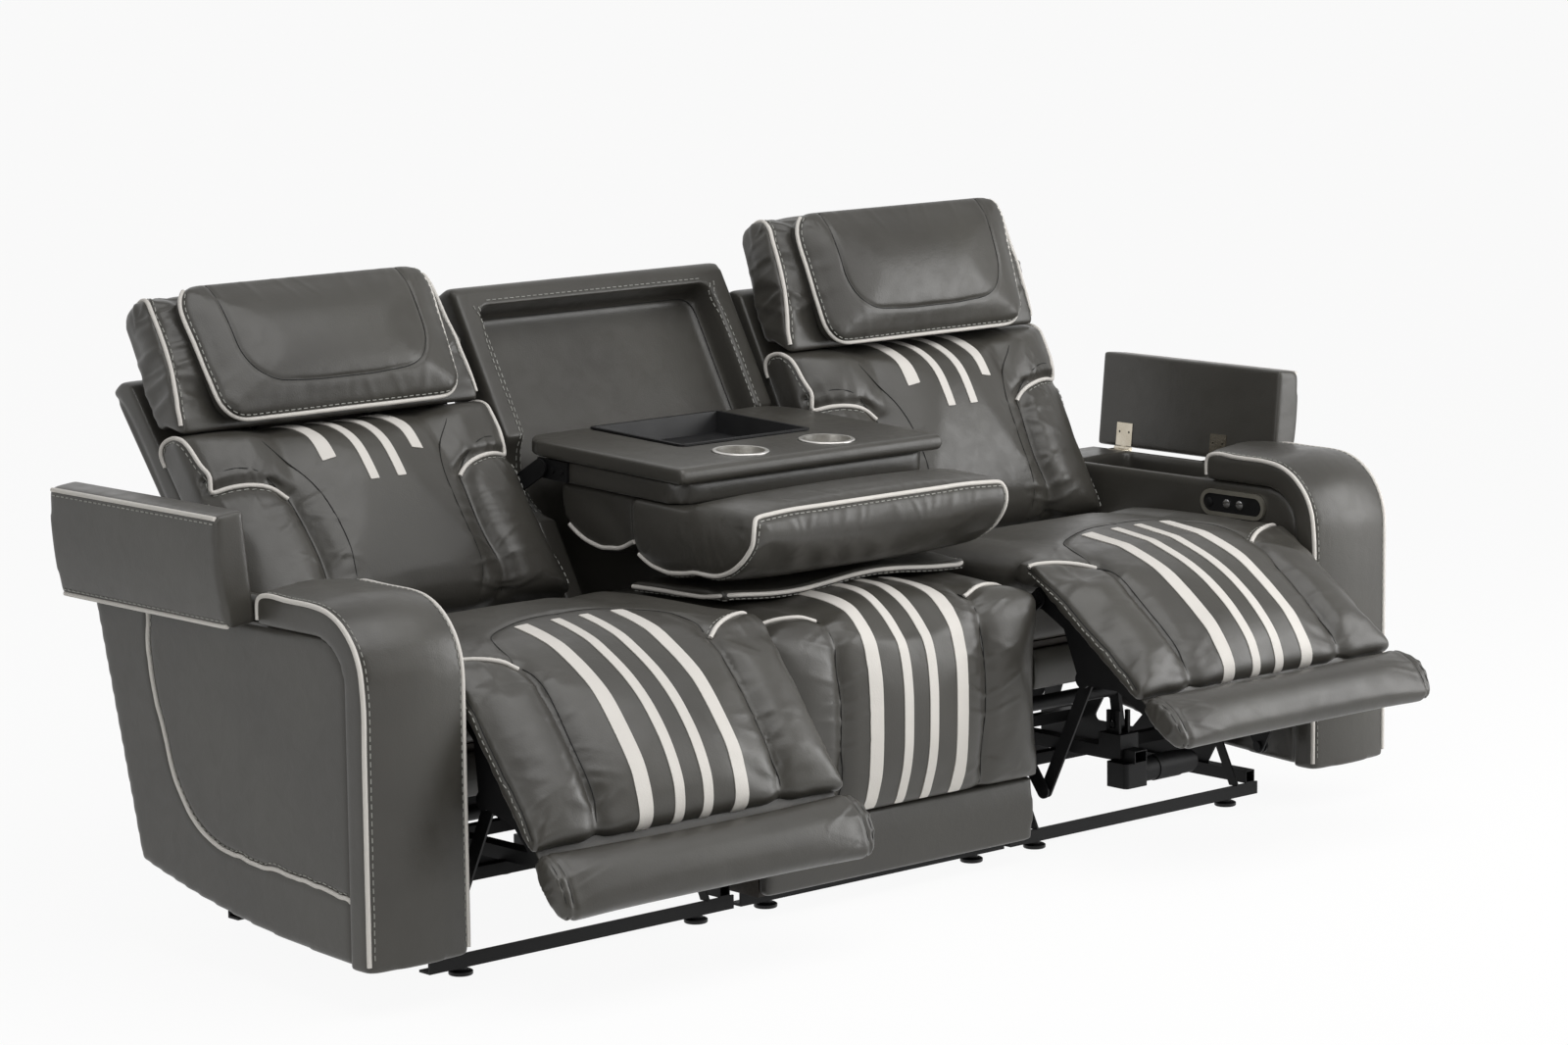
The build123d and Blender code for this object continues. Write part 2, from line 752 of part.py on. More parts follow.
def seat_cushion():
    """Recliner seat: hollow front that clears the knee, crowned top, falling rear edge."""
    y_k, z_k = KNEE
    clear = PAD_TOP + 1.5
    lip = 25.0
    drop = (clear ** 2 - lip ** 2) ** 0.5
    side_turn = (y_k + clear * DIAGONAL, z_k + clear * DIAGONAL)
    profile = outline(
        (y_k + clear, DECK_TOP),
        (y_k + clear, z_k),
        (side_turn, (y_k + lip, z_k + drop)),
        ((-300.0, 511.0), (-60.0, 474.0)),
        ((-5.0, 460.0), (33.0, 428.0)),
        (33.0, DECK_TOP),
    )
    body = across(profile, -SEAT_HALF, SEAT_HALF)
    section = lobes(SEAT_HALF, SEAM_X, DECK_TOP, 474, 488, 8, 24)
    return body & along(section, y_k, 60)


def centre_cushion():
    """Centre seat: crowned top that falls over the front as a padded apron."""
    profile = outline(
        (-12.0, DECK_TOP),
        (52.0, 462.0),
        ((-200.0, 482.0), (-375.0, 478.0)),
        ((-432.0, 462.0), (-452.0, 410.0)),
        ((-464.0, 280.0), (-448.0, KICK_TOP + 4)),
        (PANEL_FRONT - 0.5, KICK_TOP + 4),
        (PANEL_FRONT - 0.5, DECK_TOP),
    )
    half = CENTRE_HALF - 2
    body = across(profile, -half, half)
    top = lobes(half, 160.0, KICK_TOP, 452, 466, 8, 15)
    body &= along(top, -480, 80)
    apron = lobes(half, 160.0, -60, 442, 450, 7, 13)
    front = upward(mirror(apron, Plane.XZ), KICK_TOP, 500)
    return body & front


def seat_apron():
    """A thin padded panel that hangs from the deck's front edge between the side plates."""
    top = DECK_TOP - 5
    profile = outline(
        (DECK_FRONT, APRON_LOW),
        (DECK_FRONT, top),
        ((DECK_FRONT - 7, top - 3), (DECK_FRONT - 9, top - 10)),
        ((DECK_FRONT - 14, (APRON_LOW + top) / 2), (DECK_FRONT - 8, APRON_LOW)),
    )
    return across(profile, -APRON_HALF, APRON_HALF)


def make_seats():
    aprons = []
    decks = [block((-CENTRE_HALF + 4, CENTRE_HALF - 4), (PANEL_FRONT, REAR_RAIL_Y),
                   (DECK_TOP - DECK_THICK, DECK_TOP))]
    deck_half = SEAT_HALF - 11
    for side, sign in SIDES:
        move = Pos(sign * BAY_X, 0, 0)
        decks.append(move * block((-deck_half, deck_half), (DECK_FRONT, 30),
                                  (DECK_TOP - DECK_THICK, DECK_TOP)))
        aprons.append(move * seat_apron())
        nodes[f"{side}_seat_cushion"] = [move * seat_cushion()]
    nodes["seat_decks"] = decks
    nodes["seat_aprons"] = aprons
    nodes["centre_seat_cushion"] = [centre_cushion()]
    panel = outline(
        (PANEL_FRONT, RAIL_HIGH),
        (REAR_RAIL_Y, RAIL_HIGH),
        (REAR_RAIL_Y, DECK_TOP - DECK_THICK),
        (PANEL_FRONT, DECK_TOP - DECK_THICK),
    )
    panel -= Pos(-110, 190) * RectangleRounded(210, 120, 30)
    board = across(panel, CENTRE_HALF - 22, CENTRE_HALF - 4)
    nodes["centre_side_panels"] = both_sides(board)
    kick = outline(
        (PANEL_FRONT, KICK_BOTTOM),
        (PANEL_FRONT, KICK_TOP),
        (PANEL_FRONT - 22, KICK_TOP),
        ((PANEL_FRONT - 28, 95.0), (PANEL_FRONT - 22, KICK_BOTTOM)),
    )
    nodes["centre_kick_panel"] = [across(kick, -CENTRE_HALF + 3, CENTRE_HALF - 3)]
    filler = outline(
        (-70.0, 482.6),
        ((-180.0, 485.5), (-292.0, 483.0)),
        ((-304.0, 490.0), (-288.0, 497.0)),
        ((-180.0, 505.0), (-70.0, 498.0)),
    )
    nodes["centre_filler_pad"] = [across(filler, -268, 268) - centre_cushion()]


# Backs and headrests, built upright above the back pivot

def back_face(depth):
    """Y of a surface given as its depth in front of the back pivot."""
    return BACK_PIVOT[0] - depth


def back_height(rise):
    return BACK_PIVOT[1] + rise


def back_cushion():
    """Three-lobed back with a lumbar swell and a rolled top."""
    rear = back_face(10)
    profile = outline(
        (rear, back_height(BACK_BOTTOM)),
        (rear, back_height(BACK_TOP - 2)),
        ((back_face(48), back_height(BACK_TOP - 6)), (back_face(72), back_height(BACK_TOP - 25))),
        ((back_face(114), back_height(362)), (back_face(130), back_height(295))),
        ((back_face(122), back_height(190)), (back_face(100), back_height(75))),
        ((back_face(84), back_height(48)), (back_face(58), back_height(BACK_BOTTOM))),
    )
    body = across(profile, -SEAT_HALF, SEAT_HALF)
    plan = lobes(SEAT_HALF, 150.0, -12, 72, 100, 4, 32)
    plan = Pos(0, BACK_PIVOT[0]) * mirror(plan, Plane.XZ)
    return body & upward(plan, back_height(0), back_height(500))


def back_shell():
    """The outside back: a tapered padded shell with slots for the steel brackets."""
    front = back_face(9.5)
    rear = back_face(-75)
    profile = outline(
        (front, back_height(45)),
        (front, back_height(SHELL_TOP - 14)),
        ((front + 40, back_height(SHELL_TOP + 6)), (rear - 12, back_height(SHELL_TOP - 10))),
        ((rear, back_height(300)), (rear - 14, back_height(60))),
        (rear - 26, back_height(45)),
    )
    half = SEAT_HALF - 13
    body = across(profile, -half, half)
    plan = outline(
        (-half, front - 1),
        (half, front - 1),
        (half, front + 52),
        ((half * 0.6, rear - 6), (0.0, rear)),
        ((-half * 0.6, rear - 6), (-half, front + 52)),
    )
    body &= upward(plan, back_height(0), back_height(SHELL_TOP + 20))
    for x in (-BRACKET_X - PLATE / 2, BRACKET_X + PLATE / 2):
        body -= block((x - 2.6, x + 2.6), (front - 1, front + 45),
                      (back_height(0), back_height(162)))
    return body


def headrest_strap():
    """A steel strap that carries the headrest's hinge pin in front of the shell."""
    y, z = HEADREST_PIVOT
    front = back_face(9.5)
    foot_low = back_height(BACK_TOP + 1.8)
    face = outline(
        (front, foot_low),
        (front, back_height(520)),
        (front - 6, back_height(520)),
        (front - 6, foot_low + 6),
        (y, foot_low + 6),
        (y, foot_low),
    )
    face += Pos(y, z) * Circle(8)
    return across(face, 118, 122) + rod(HEADREST_PIVOT, 3.5, 113, 127)


def back_brackets():
    """Recline brackets on the pivot pins and the two headrest straps."""
    y, z = BACK_PIVOT
    front = back_face(9.5)
    face = outline(
        (y - 8, z),
        (front + 1, z + 40),
        (front + 1, z + 158),
        (front + 38, z + 158),
        (y + 18, z),
    )
    face += Pos(y, z) * Circle(20)
    face -= Pos(y, z) * Circle(PIN_R + PIN_SLACK)
    bracket = across(face, BRACKET_X, BRACKET_X + PLATE)
    return both_sides(bracket) + both_sides(headrest_strap())


def headrest_cut():
    """Slots for the straps and holes for their pins, in the headrest box."""
    cut = None
    for low, high in ((112.9, 127.1), (-127.1, -112.9)):
        hole = rod(HEADREST_PIVOT, 3.6, low, high)
        cut = hole if cut is None else cut + hole
    for low, high in ((116, 124), (-124, -116)):
        cut += rod(HEADREST_PIVOT, 13, low, high)
    return cut


def headrest_box():
    bottom = back_height(BACK_TOP + 8)
    top = back_height(HEADREST_TOP)
    profile = outline(
        (back_face(24), bottom + 4),
        ((back_face(60), bottom), (back_face(94), bottom + 4)),
        ((back_face(98), (bottom + top) / 2), (back_face(90), top - 10)),
        ((back_face(56), top), (back_face(20), top - 14)),
        ((back_face(18), (bottom + top) / 2), (back_face(24), bottom + 4)),
    )
    half = HEADREST_HALF
    mid = (bottom + top) / 2
    front = outline(
        (-half, bottom - 1),
        (half, bottom - 1),
        ((half - 7, mid), (half - 14, top - 12)),
        ((half - 22, top - 2), (half - 36, top - 1)),
        (-half + 36, top - 1),
        ((-half + 22, top - 2), (-half + 14, top - 12)),
        ((-half + 7, mid), (-half, bottom - 1)),
    )
    box = across(profile, -half, half) & along(front, back_face(120), back_face(0))
    return box - headrest_cut()


def headrest_pillow():
    """The crowned front pillow, a rounded trapezoid seen from the front."""
    bottom = back_height(408)
    top = back_height(646)
    mid = (bottom + top) / 2
    rear = back_face(99)
    profile = outline(
        (rear, bottom + 12),
        ((rear - 18, bottom), (rear - 40, bottom + 16)),
        ((rear - 62, mid), (rear - 36, top - 14)),
        ((rear - 16, top), (rear, top - 14)),
    )
    plan = outline(
        (-PILLOW_HALF, 99.0),
        (PILLOW_HALF, 99.0),
        (PILLOW_HALF, 128.0),
        ((0.0, 168.0), (-PILLOW_HALF, 128.0)),
    )
    low_half = PILLOW_HALF - PILLOW_TAPER
    face = make_face(Polyline((-low_half, bottom), (low_half, bottom), (PILLOW_HALF, top),
                              (-PILLOW_HALF, top), close=True))
    face = fillet(face.vertices(), 46)
    pillow = across(profile, -PILLOW_HALF, PILLOW_HALF)
    pillow &= along(face, back_face(180), back_face(90))
    plan = Pos(0, BACK_PIVOT[0]) * mirror(plan, Plane.XZ)
    return pillow & upward(plan, bottom - 5, top + 5)


def make_backs():
    for side, sign in SIDES:
        move = Pos(sign * BAY_X, 0, 0)
        lean = LEAN[side]
        fixed = {
            "back_cushion": [back_cushion()],
            "back_shell": [back_shell()],
            "back_brackets": back_brackets(),
        }
        nodding = {
            "headrest_box": [headrest_box()],
            "headrest_pillow": [headrest_pillow()],
        }
        for name, shapes in nodding.items():
            fixed[name] = [tilt(shape, HEADREST_PIVOT, -HEADREST_NOD) for shape in shapes]
        for name, shapes in fixed.items():
            nodes[f"{side}_{name}"] = [move * tilt(s, BACK_PIVOT, lean) for s in shapes]


# Centre back and table

def frame_place():
    """The plane on the front of the centre back's bolsters, above the table pivot."""
    lean = radians(FRAME_LEAN)
    y = TABLE_PIVOT[0] + FRAME_GAP * cos(lean)
    z = TABLE_PIVOT[1] - FRAME_GAP * sin(lean)
    return Pos(0, y, z) * Rot(X=-FRAME_LEAN)


def table_bracket_fixed():
    """A plate from the centre back out to the table pivot, with its pin."""
    lean = radians(FRAME_LEAN)
    reach = FRAME_GAP + 70
    rear = (TABLE_PIVOT[0] + reach * cos(lean), TABLE_PIVOT[1] - reach * sin(lean))
    face = link_face(TABLE_PIVOT, rear, 30)
    plate = across(face, TABLE_HALF + 1, TABLE_HALF + 5)
    return plate + rod(TABLE_PIVOT, 6, BOARD_HALF + 0.5, TABLE_HALF + 5)


def centre_back():
    """Fixed centre back: top roll, side bolsters and a recessed panel."""
    half = CENTRE_HALF
    low = -345.0
    outer = outline(
        (0.0, low),
        (0.0, FRAME_TOP - 20),
        ((8.0, FRAME_TOP - 5), (24.0, FRAME_TOP)),
        (FRAME_DEPTH - 14, FRAME_TOP),
        (FRAME_DEPTH, FRAME_TOP - 14),
        (FRAME_DEPTH, low),
    )
    frame = across(outer, -half, half)
    inner = half - BOLSTER
    well = outline(
        (-inner, low - 1),
        (inner, low - 1),
        (inner, FRAME_TOP - BOLSTER - 22),
        ((inner - 6, FRAME_TOP - BOLSTER - 6), (inner - 22, FRAME_TOP - BOLSTER)),
        (-inner + 22, FRAME_TOP - BOLSTER),
        ((-inner + 6, FRAME_TOP - BOLSTER - 6), (-inner, FRAME_TOP - BOLSTER - 22)),
    )
    frame -= along(well, -1, FRAME_DEPTH - 40)
    frame = frame_place() * frame
    sweep_r = 88.0
    frame -= rod(TABLE_PIVOT, sweep_r, -half - 1, half + 1)
    frame -= block((-400, 400), (-400, 600), (0, DECK_TOP))
    for plate in both_sides(table_bracket_fixed()):
        frame -= plate
    return frame


def table_holes(top_margin):
    """Openings for the tray and the two cup holders, from above."""
    tray = block((-TRAY_HALF + 4, TRAY_HALF - 4), (TRAY_FRONT + 4, TRAY_REAR - 4),
                 (BOARD_BASE - 1, TABLE_TOP + top_margin))
    for x in (-CUP_X, CUP_X):
        tray += upward(Pos(x, CUP_Y) * Circle(CUP_R + 1.5), BOARD_BASE - 1,
                       TABLE_TOP + top_margin)
    return tray


def table_pad():
    """Padded top with rounded rear corners and a soft front lip."""
    corner = 70.0
    half = TABLE_HALF
    turn = corner * (1 - DIAGONAL)
    plan = outline(
        (-half, TABLE_FRONT),
        (half, TABLE_FRONT),
        (half, TABLE_REAR - corner),
        ((half - turn, TABLE_REAR - turn), (half - corner, TABLE_REAR)),
        (-half + corner, TABLE_REAR),
        ((-half + turn, TABLE_REAR - turn), (-half, TABLE_REAR - corner)),
    )
    pad = upward(plan, PAD_BASE + 0.2, TABLE_TOP)
    profile = outline(
        (TABLE_FRONT + 6, PAD_BASE),
        ((TABLE_FRONT, PAD_BASE + 14), (TABLE_FRONT + 8, TABLE_TOP)),
        (TABLE_REAR - 12, TABLE_TOP),
        ((TABLE_REAR - 3, TABLE_TOP - 4), (TABLE_REAR, PAD_BASE + 10)),
        (TABLE_REAR - 4, PAD_BASE),
    )
    pad &= across(profile, -half, half)
    return pad - table_holes(1)


def table_board():
    """The firm layer below the pad that carries the tray, cups and cushions."""
    corner = 40.0
    plan = Pos(0, (TABLE_FRONT + 20 + 150) / 2) * RectangleRounded(
        2 * BOARD_HALF, 150 - TABLE_FRONT - 20, corner)
    return upward(plan, BOARD_BASE, PAD_BASE) - table_holes(0)


def table_tray():
    """Moulded tray: rim, drafted well, ledge with five ports and a phone slot."""
    rim = block((-TRAY_HALF, TRAY_HALF), (TRAY_FRONT, TRAY_REAR), (TABLE_TOP, TABLE_TOP + 3))
    rim = fillet(rim.edges().filter_by(Axis.Z), 8)
    floor = TABLE_TOP - TRAY_DEPTH
    well = block((-TRAY_HALF + 4.5, TRAY_HALF - 4.5), (TRAY_FRONT + 4.5, TRAY_REAR - 4.5),
                 (floor, TABLE_TOP))
    inset = 4.5 + TRAY_WALL
    draft = 10.0
    top_plane = Plane.XY.offset(TABLE_TOP + 3)
    low_plane = Plane.XY.offset(floor + TRAY_WALL)
    width = 2 * (TRAY_HALF - inset)
    length = TRAY_REAR - TRAY_FRONT - 2 * inset
    middle = Pos(0, (TRAY_FRONT + TRAY_REAR) / 2)
    hollow = loft([
        low_plane * middle * Rectangle(width - 2 * draft, length - 2 * draft),
        top_plane * middle * Rectangle(width, length),
    ])
    tray = rim + well - hollow
    ledge_front = TRAY_FRONT + inset + draft - 2
    ledge = block((-62, 62), (ledge_front, ledge_front + 30), (floor, floor + 14))
    tray += ledge
    for step in range(5):
        tray -= block((-46 + 20 * step - 5, -46 + 20 * step + 7),
                      (ledge_front + 12, ledge_front + 20), (floor + 8, floor + 15))
    tray -= block((-8, 70), (88, 94), (floor + 0.8, floor + 5))
    return tray


def cup_holder(x):
    """A spun steel cup with a flat rim and a rounded bottom edge."""
    floor = BOARD_BASE + 1
    wall = CUP_R + 1
    profile = outline(
        (0.0, floor),
        (wall - 6, floor),
        ((wall - 1.8, floor + 1.8), (wall, floor + 6)),
        (wall, TABLE_TOP),
        (CUP_RIM, TABLE_TOP),
        ((CUP_RIM - 0.6, TABLE_TOP + 1.6), (CUP_RIM - 3, TABLE_TOP + 2)),
        (CUP_R, TABLE_TOP + 2),
        (CUP_R, floor + 6),
        ((CUP_R - 1.6, floor + 2.6), (CUP_R - 6, floor + 1.2)),
        (0.0, floor + 1.2),
    )
    return Pos(x, CUP_Y, 0) * revolve(Plane.XZ * profile, Axis.Z)


def table_cushions():
    """Front roll and lumbar pad under the table: the centre back's front when it is up."""
    top = BOARD_BASE - 0.5
    roll = outline(
        (-98.0, top),
        (-232.0, top),
        ((-262.0, 668.0), (-345.0, 668.0)),
        ((-388.0, 655.0), (-392.0, 612.0)),
        ((-340.0, 556.0), (-250.0, 543.0)),
        ((-150.0, 536.0), (-104.0, 556.0)),
        ((-94.0, 600.0), (-98.0, top)),
    )
    roll_half = TABLE_HALF - 2
    front = outline(
        (-roll_half + 6, 500.0),
        (roll_half - 6, 500.0),
        ((roll_half, 590.0), (roll_half - 8, 658.0)),
        ((0.0, 672.0), (-roll_half + 8, 658.0)),
        ((-roll_half, 590.0), (-roll_half + 6, 500.0)),
    )
    lumbar = outline(
        (-90.0, top),
        ((-84.0, 600.0), (-88.0, 570.0)),
        ((0.0, 545.0), (80.0, 566.0)),
        ((96.0, 600.0), (104.0, top)),
    )
    roll_solid = across(roll, -roll_half, roll_half) & along(front, -400, -80)
    lumbar_half = BOARD_HALF - 6
    plan = outline(
        (-lumbar_half, -95.0),
        (lumbar_half, -95.0),
        ((lumbar_half - 8, 0.0), (lumbar_half - 4, 110.0)),
        (-lumbar_half + 4, 110.0),
        ((-lumbar_half + 8, 0.0), (-lumbar_half, -95.0)),
    )
    lumbar_solid = across(lumbar, -lumbar_half, lumbar_half) & upward(plan, 500, 700)
    return [roll_solid, lumbar_solid]


def table_arm():
    """The bolted bracket on the table's side that turns on the fixed pin."""
    y, z = TABLE_PIVOT
    face = outline(
        (y - 60, BOARD_BASE + 2),
        (y + 16, BOARD_BASE + 2),
        (y + 16, PAD_BASE - 1),
        (y - 60, PAD_BASE - 1),
    )
    face += Pos(y, z) * Circle(15)
    face -= Pos(y, z) * Circle(6 + PIN_SLACK)
    plate = across(face, BOARD_HALF + 0.2, BOARD_HALF + 5)
    for step in (-46, -24):
        head = (y + step, (BOARD_BASE + PAD_BASE) / 2)
        plate += rod(head, 5, BOARD_HALF + 5, BOARD_HALF + 8)
    return plate


def make_centre_back():
    nodes["centre_back_frame"] = [centre_back()]
    nodes["table_pivot_plates"] = both_sides(table_bracket_fixed())
    table = {
        "table_pad": [table_pad()],
        "table_board": [table_board()],
        "table_tray": [table_tray()],
        "cup_holders": [cup_holder(-CUP_X), cup_holder(CUP_X)],
        "table_cushions": table_cushions(),
        "table_arms": both_sides(table_arm()),
    }
    for name, shapes in table.items():
        nodes[name] = [tilt(shape, TABLE_PIVOT, -TABLE_DROOP) for shape in shapes]


# Put the origin on the floor under the middle of the rest pose, then write the parts

def solids_of(shapes):
    found = []
    for shape in shapes:
        found += shape.solids()
    return found


def main():
    make_arms()
    make_floor_parts()
    make_footrests()
    make_seats()
    make_backs()
    make_centre_back()
    whole = Compound(children=[s for shapes in nodes.values() for s in solids_of(shapes)])
    box = whole.bounding_box()
    shift = Pos(0, -(box.min.Y + box.max.Y) / 2, 0)
    print("origin shift in Y", round(shift.position.Y, 4))
    os.makedirs("parts", exist_ok=True)
    for name, shapes in nodes.items():
        solids = [shift * solid for solid in solids_of(shapes)]
        piece = solids[0] if len(solids) == 1 else Compound(children=solids)
        export_step(piece, f"parts/{name}.step")
    print(len(nodes), "nodes written")


main()
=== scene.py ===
import json
import math

import bpy
import numpy as np
from mathutils import Matrix, Vector


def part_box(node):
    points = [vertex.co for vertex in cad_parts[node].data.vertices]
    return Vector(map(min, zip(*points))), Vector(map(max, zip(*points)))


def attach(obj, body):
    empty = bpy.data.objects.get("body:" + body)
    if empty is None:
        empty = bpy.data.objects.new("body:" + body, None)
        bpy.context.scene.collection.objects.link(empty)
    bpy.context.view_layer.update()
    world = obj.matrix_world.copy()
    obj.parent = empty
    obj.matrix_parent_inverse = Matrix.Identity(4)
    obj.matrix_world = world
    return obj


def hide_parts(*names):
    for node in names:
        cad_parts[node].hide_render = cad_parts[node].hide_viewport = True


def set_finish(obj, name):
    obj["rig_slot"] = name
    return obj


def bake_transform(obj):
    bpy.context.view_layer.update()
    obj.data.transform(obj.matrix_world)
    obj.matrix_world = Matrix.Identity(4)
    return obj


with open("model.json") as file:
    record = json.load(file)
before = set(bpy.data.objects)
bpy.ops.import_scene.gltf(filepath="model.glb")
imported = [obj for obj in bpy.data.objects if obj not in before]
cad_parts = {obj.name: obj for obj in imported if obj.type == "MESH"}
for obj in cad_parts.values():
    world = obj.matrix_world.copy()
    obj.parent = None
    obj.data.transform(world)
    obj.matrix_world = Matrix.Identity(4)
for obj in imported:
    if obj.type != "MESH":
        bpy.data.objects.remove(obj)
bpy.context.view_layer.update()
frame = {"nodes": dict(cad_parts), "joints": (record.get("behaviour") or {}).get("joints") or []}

# Drawing dimensions in millimetres and degrees. The drawing's front edge datum sits at the
# knee pivot, so the frame's own knee joint says how far the drawing was shifted.
BAY = {"left": -614.0, "right": 614.0}
LEAN = {"left": 38.0, "right": 28.0}
DROOP = {"left": 52.0, "right": 36.0}
KNEE_Y = -410.0
KNEE_Z = 438.0
RECLINE_Y = 60.0
RECLINE_Z = 400.0
NOD = 8.0
NOD_Y = -84.0
NOD_Z = 440.0
TABLE_TILT = 2.0
TABLE_Y = 125.0
TABLE_Z = 668.0
FRAME_BEHIND = 46.0
FRAME_LEAN = 30.0
LID_OPEN = 96.0
LID_X = 1114.0
LID_Z = 555.0
knee = next(j for j in frame["joints"] if j["name"] == "left_footrest_lift")
SHIFT = knee["pos_m"][1] * 1000 - KNEE_Y

# Camera, in the drawing's millimetres and degrees
CAMERA_PLACE = (-5201.98, -5910.53, 1779.72)
CAMERA_TURN = 42.08
CAMERA_DIP = 8.83
CAMERA_ROLL = -0.64
CAMERA_LENS = 109.815

# Studio
FLOOR_SIZE = 160
FLOOR_GLOW = 0.93
AMBIENT = 0.24

# Sewing sizes in metres
WELT_R = 0.0037
CAP_WELT_R = 0.0038
WELT_LIFT = 0.4
SEAM_R = 0.0009
SEAM_LIFT = 0.3
THREAD_R = 0.001
STITCH = 0.0075
STITCH_GAP = 0.0045
SEWN_REACH = 0.006
LINE_STEP = 0.006
WELD_GAP = 0.00005
HALF_SEAT = 0.3125
FILL_FRAMES = 20

# Stripes: middle, width and, on a back, lower end, in millimetres; how far along the footrest
# and how high they run
SEAT_STRIPES = ((-95, 28), (-28, 20), (28, 20), (95, 28))
BACK_STRIPES = ((-88, 26, 308), (-27, 18, 256), (27, 18, 256), (88, 26, 308))
STRIPE_ON_PAD = ((10, 76), (60, 84), (140, 90), (215, 82), (262, 66), (283, 46), (278, 32))

SIDES = ("left", "right")
BACKWARD = Vector((0, 1, 0))


def mm(x, y, z):
    """A point of a level local frame, from millimetres."""
    return Vector((x, y, z)) / 1000


def placing(x, y, z, turn=0.0):
    """Sets a level local frame at a point of the drawing and turns it about X."""
    return Matrix.Translation(mm(x, y + SHIFT, z)) @ Matrix.Rotation(math.radians(turn), 4, "X")


def about(x, y, z, turn, axis="X"):
    """Turns a frame about an axis through one of its own points."""
    spot = Matrix.Translation(mm(x, y, z))
    return spot @ Matrix.Rotation(math.radians(turn), 4, axis) @ spot.inverted()


DRAWING = placing(0, 0, 0)
FLIP = Matrix.Diagonal((-1, 1, 1, 1))
frame_tilt = math.radians(FRAME_LEAN)
back_place = {s: placing(BAY[s], RECLINE_Y, RECLINE_Z, -LEAN[s]) for s in SIDES}
head_place = {s: back_place[s] @ about(0, NOD_Y, NOD_Z, NOD) for s in SIDES}
seat_place = {s: placing(BAY[s], 0, 0) for s in SIDES}
pad_place = {s: placing(BAY[s], KNEE_Y, KNEE_Z, DROOP[s]) for s in SIDES}
table_place = DRAWING @ about(0, TABLE_Y, TABLE_Z, TABLE_TILT)
frame_place = placing(0, TABLE_Y + FRAME_BEHIND * math.cos(frame_tilt),
                      TABLE_Z - FRAME_BEHIND * math.sin(frame_tilt), -FRAME_LEAN)
lid_place = {"right": DRAWING @ about(LID_X, 0, LID_Z, LID_OPEN, "Y")}
lid_place["left"] = FLIP @ lid_place["right"]
arm_place = {"right": DRAWING, "left": FLIP @ DRAWING}


# Working with pieces

def activate(piece):
    bpy.ops.object.select_all(action="DESELECT")
    piece.select_set(True)
    bpy.context.view_layer.objects.active = piece


def modify(piece, kind, **settings):
    """Adds a modifier, sets it and applies it."""
    activate(piece)
    step = piece.modifiers.new(kind.lower(), kind)
    for key, value in settings.items():
        setattr(step, key, value)
    bpy.ops.object.modifier_apply(modifier=step.name)


def edit(piece, action, **settings):
    """Runs one mesh operator on the whole of a piece."""
    activate(piece)
    bpy.ops.object.mode_set(mode="EDIT")
    bpy.ops.mesh.select_all(action="SELECT")
    action(**settings)
    bpy.ops.object.mode_set(mode="OBJECT")


def give(piece, finish, slot):
    """Puts one finish on a piece and names the record's slot that it belongs to."""
    piece.data.materials.clear()
    piece.data.materials.append(finish)
    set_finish(piece, slot)
    return piece


def leather(piece):
    return give(piece, charcoal_leather, "upholstery")


def smooth_faces(piece, angle=None):
    activate(piece)
    if angle is None:
        bpy.ops.object.shade_smooth()
    else:
        bpy.ops.object.shade_smooth_by_angle(angle=math.radians(angle))


def settle(piece, place):
    """Puts a piece made in a local frame where it belongs on the sofa."""
    piece.data.transform(place)
    if place.is_negative:
        piece.data.flip_normals()
    return piece


def copy_of(piece, name):
    twin = bpy.data.objects.new(name, piece.data.copy())
    bpy.context.collection.objects.link(twin)
    twin["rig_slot"] = piece["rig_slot"]
    return twin


def mirrored(places):
    """Places for a piece made for the left: the right-hand copy is turned over."""
    return {"left": places["left"], "right": places["right"] @ FLIP}


def both_sides(pieces, places, body, covers=None):
    """Copies pieces to both sides. Covers stand in for a node, which is hidden; sheets are flat."""
    for piece in pieces:
        for side in SIDES:
            twin = settle(copy_of(piece, f"{side}_{piece.name}"), places[side])
            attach(twin, "base" if body == "base" else f"{side}_{body}")
            if piece.name in (covers or {}):
                stands_for, fill = covers[piece.name]
                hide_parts(f"{side}_{stands_for}")
        bpy.data.objects.remove(piece)


def place_all(pieces, place, body, stands_for):
    """Sets pieces on one body. The first is a filled cover that stands in for a node."""
    for piece in pieces:
        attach(settle(piece, place), body)
    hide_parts(stands_for)


def per_point(piece, what):
    flat = np.empty(len(piece.data.vertices) * 3, dtype=np.float32)
    piece.data.vertices.foreach_get(what, flat)
    return flat.reshape(-1, 3).astype(float)


def positions(piece):
    return per_point(piece, "co")


def outward(piece):
    return per_point(piece, "normal")


def reshape(piece, places):
    piece.data.vertices.foreach_set("co", places.astype(np.float32).ravel())
    piece.data.update()


def near_line(places, line):
    """Distance from points to a line, and how far along the line the nearest spot is."""
    best = np.full(len(places), 1e9)
    along = np.zeros(len(places))
    run = 0.0
    for a, b in zip(line, line[1:]):
        step = b - a
        length = np.linalg.norm(step)
        if length < 1e-9:
            continue
        t = np.clip(((places - a) @ step) / length ** 2, 0, 1)
        gap = np.linalg.norm(places - a - t[:, None] * step, axis=1)
        closer = gap < best
        best[closer] = gap[closer]
        along[closer] = run + t[closer] * length
        run += length
    return best, along


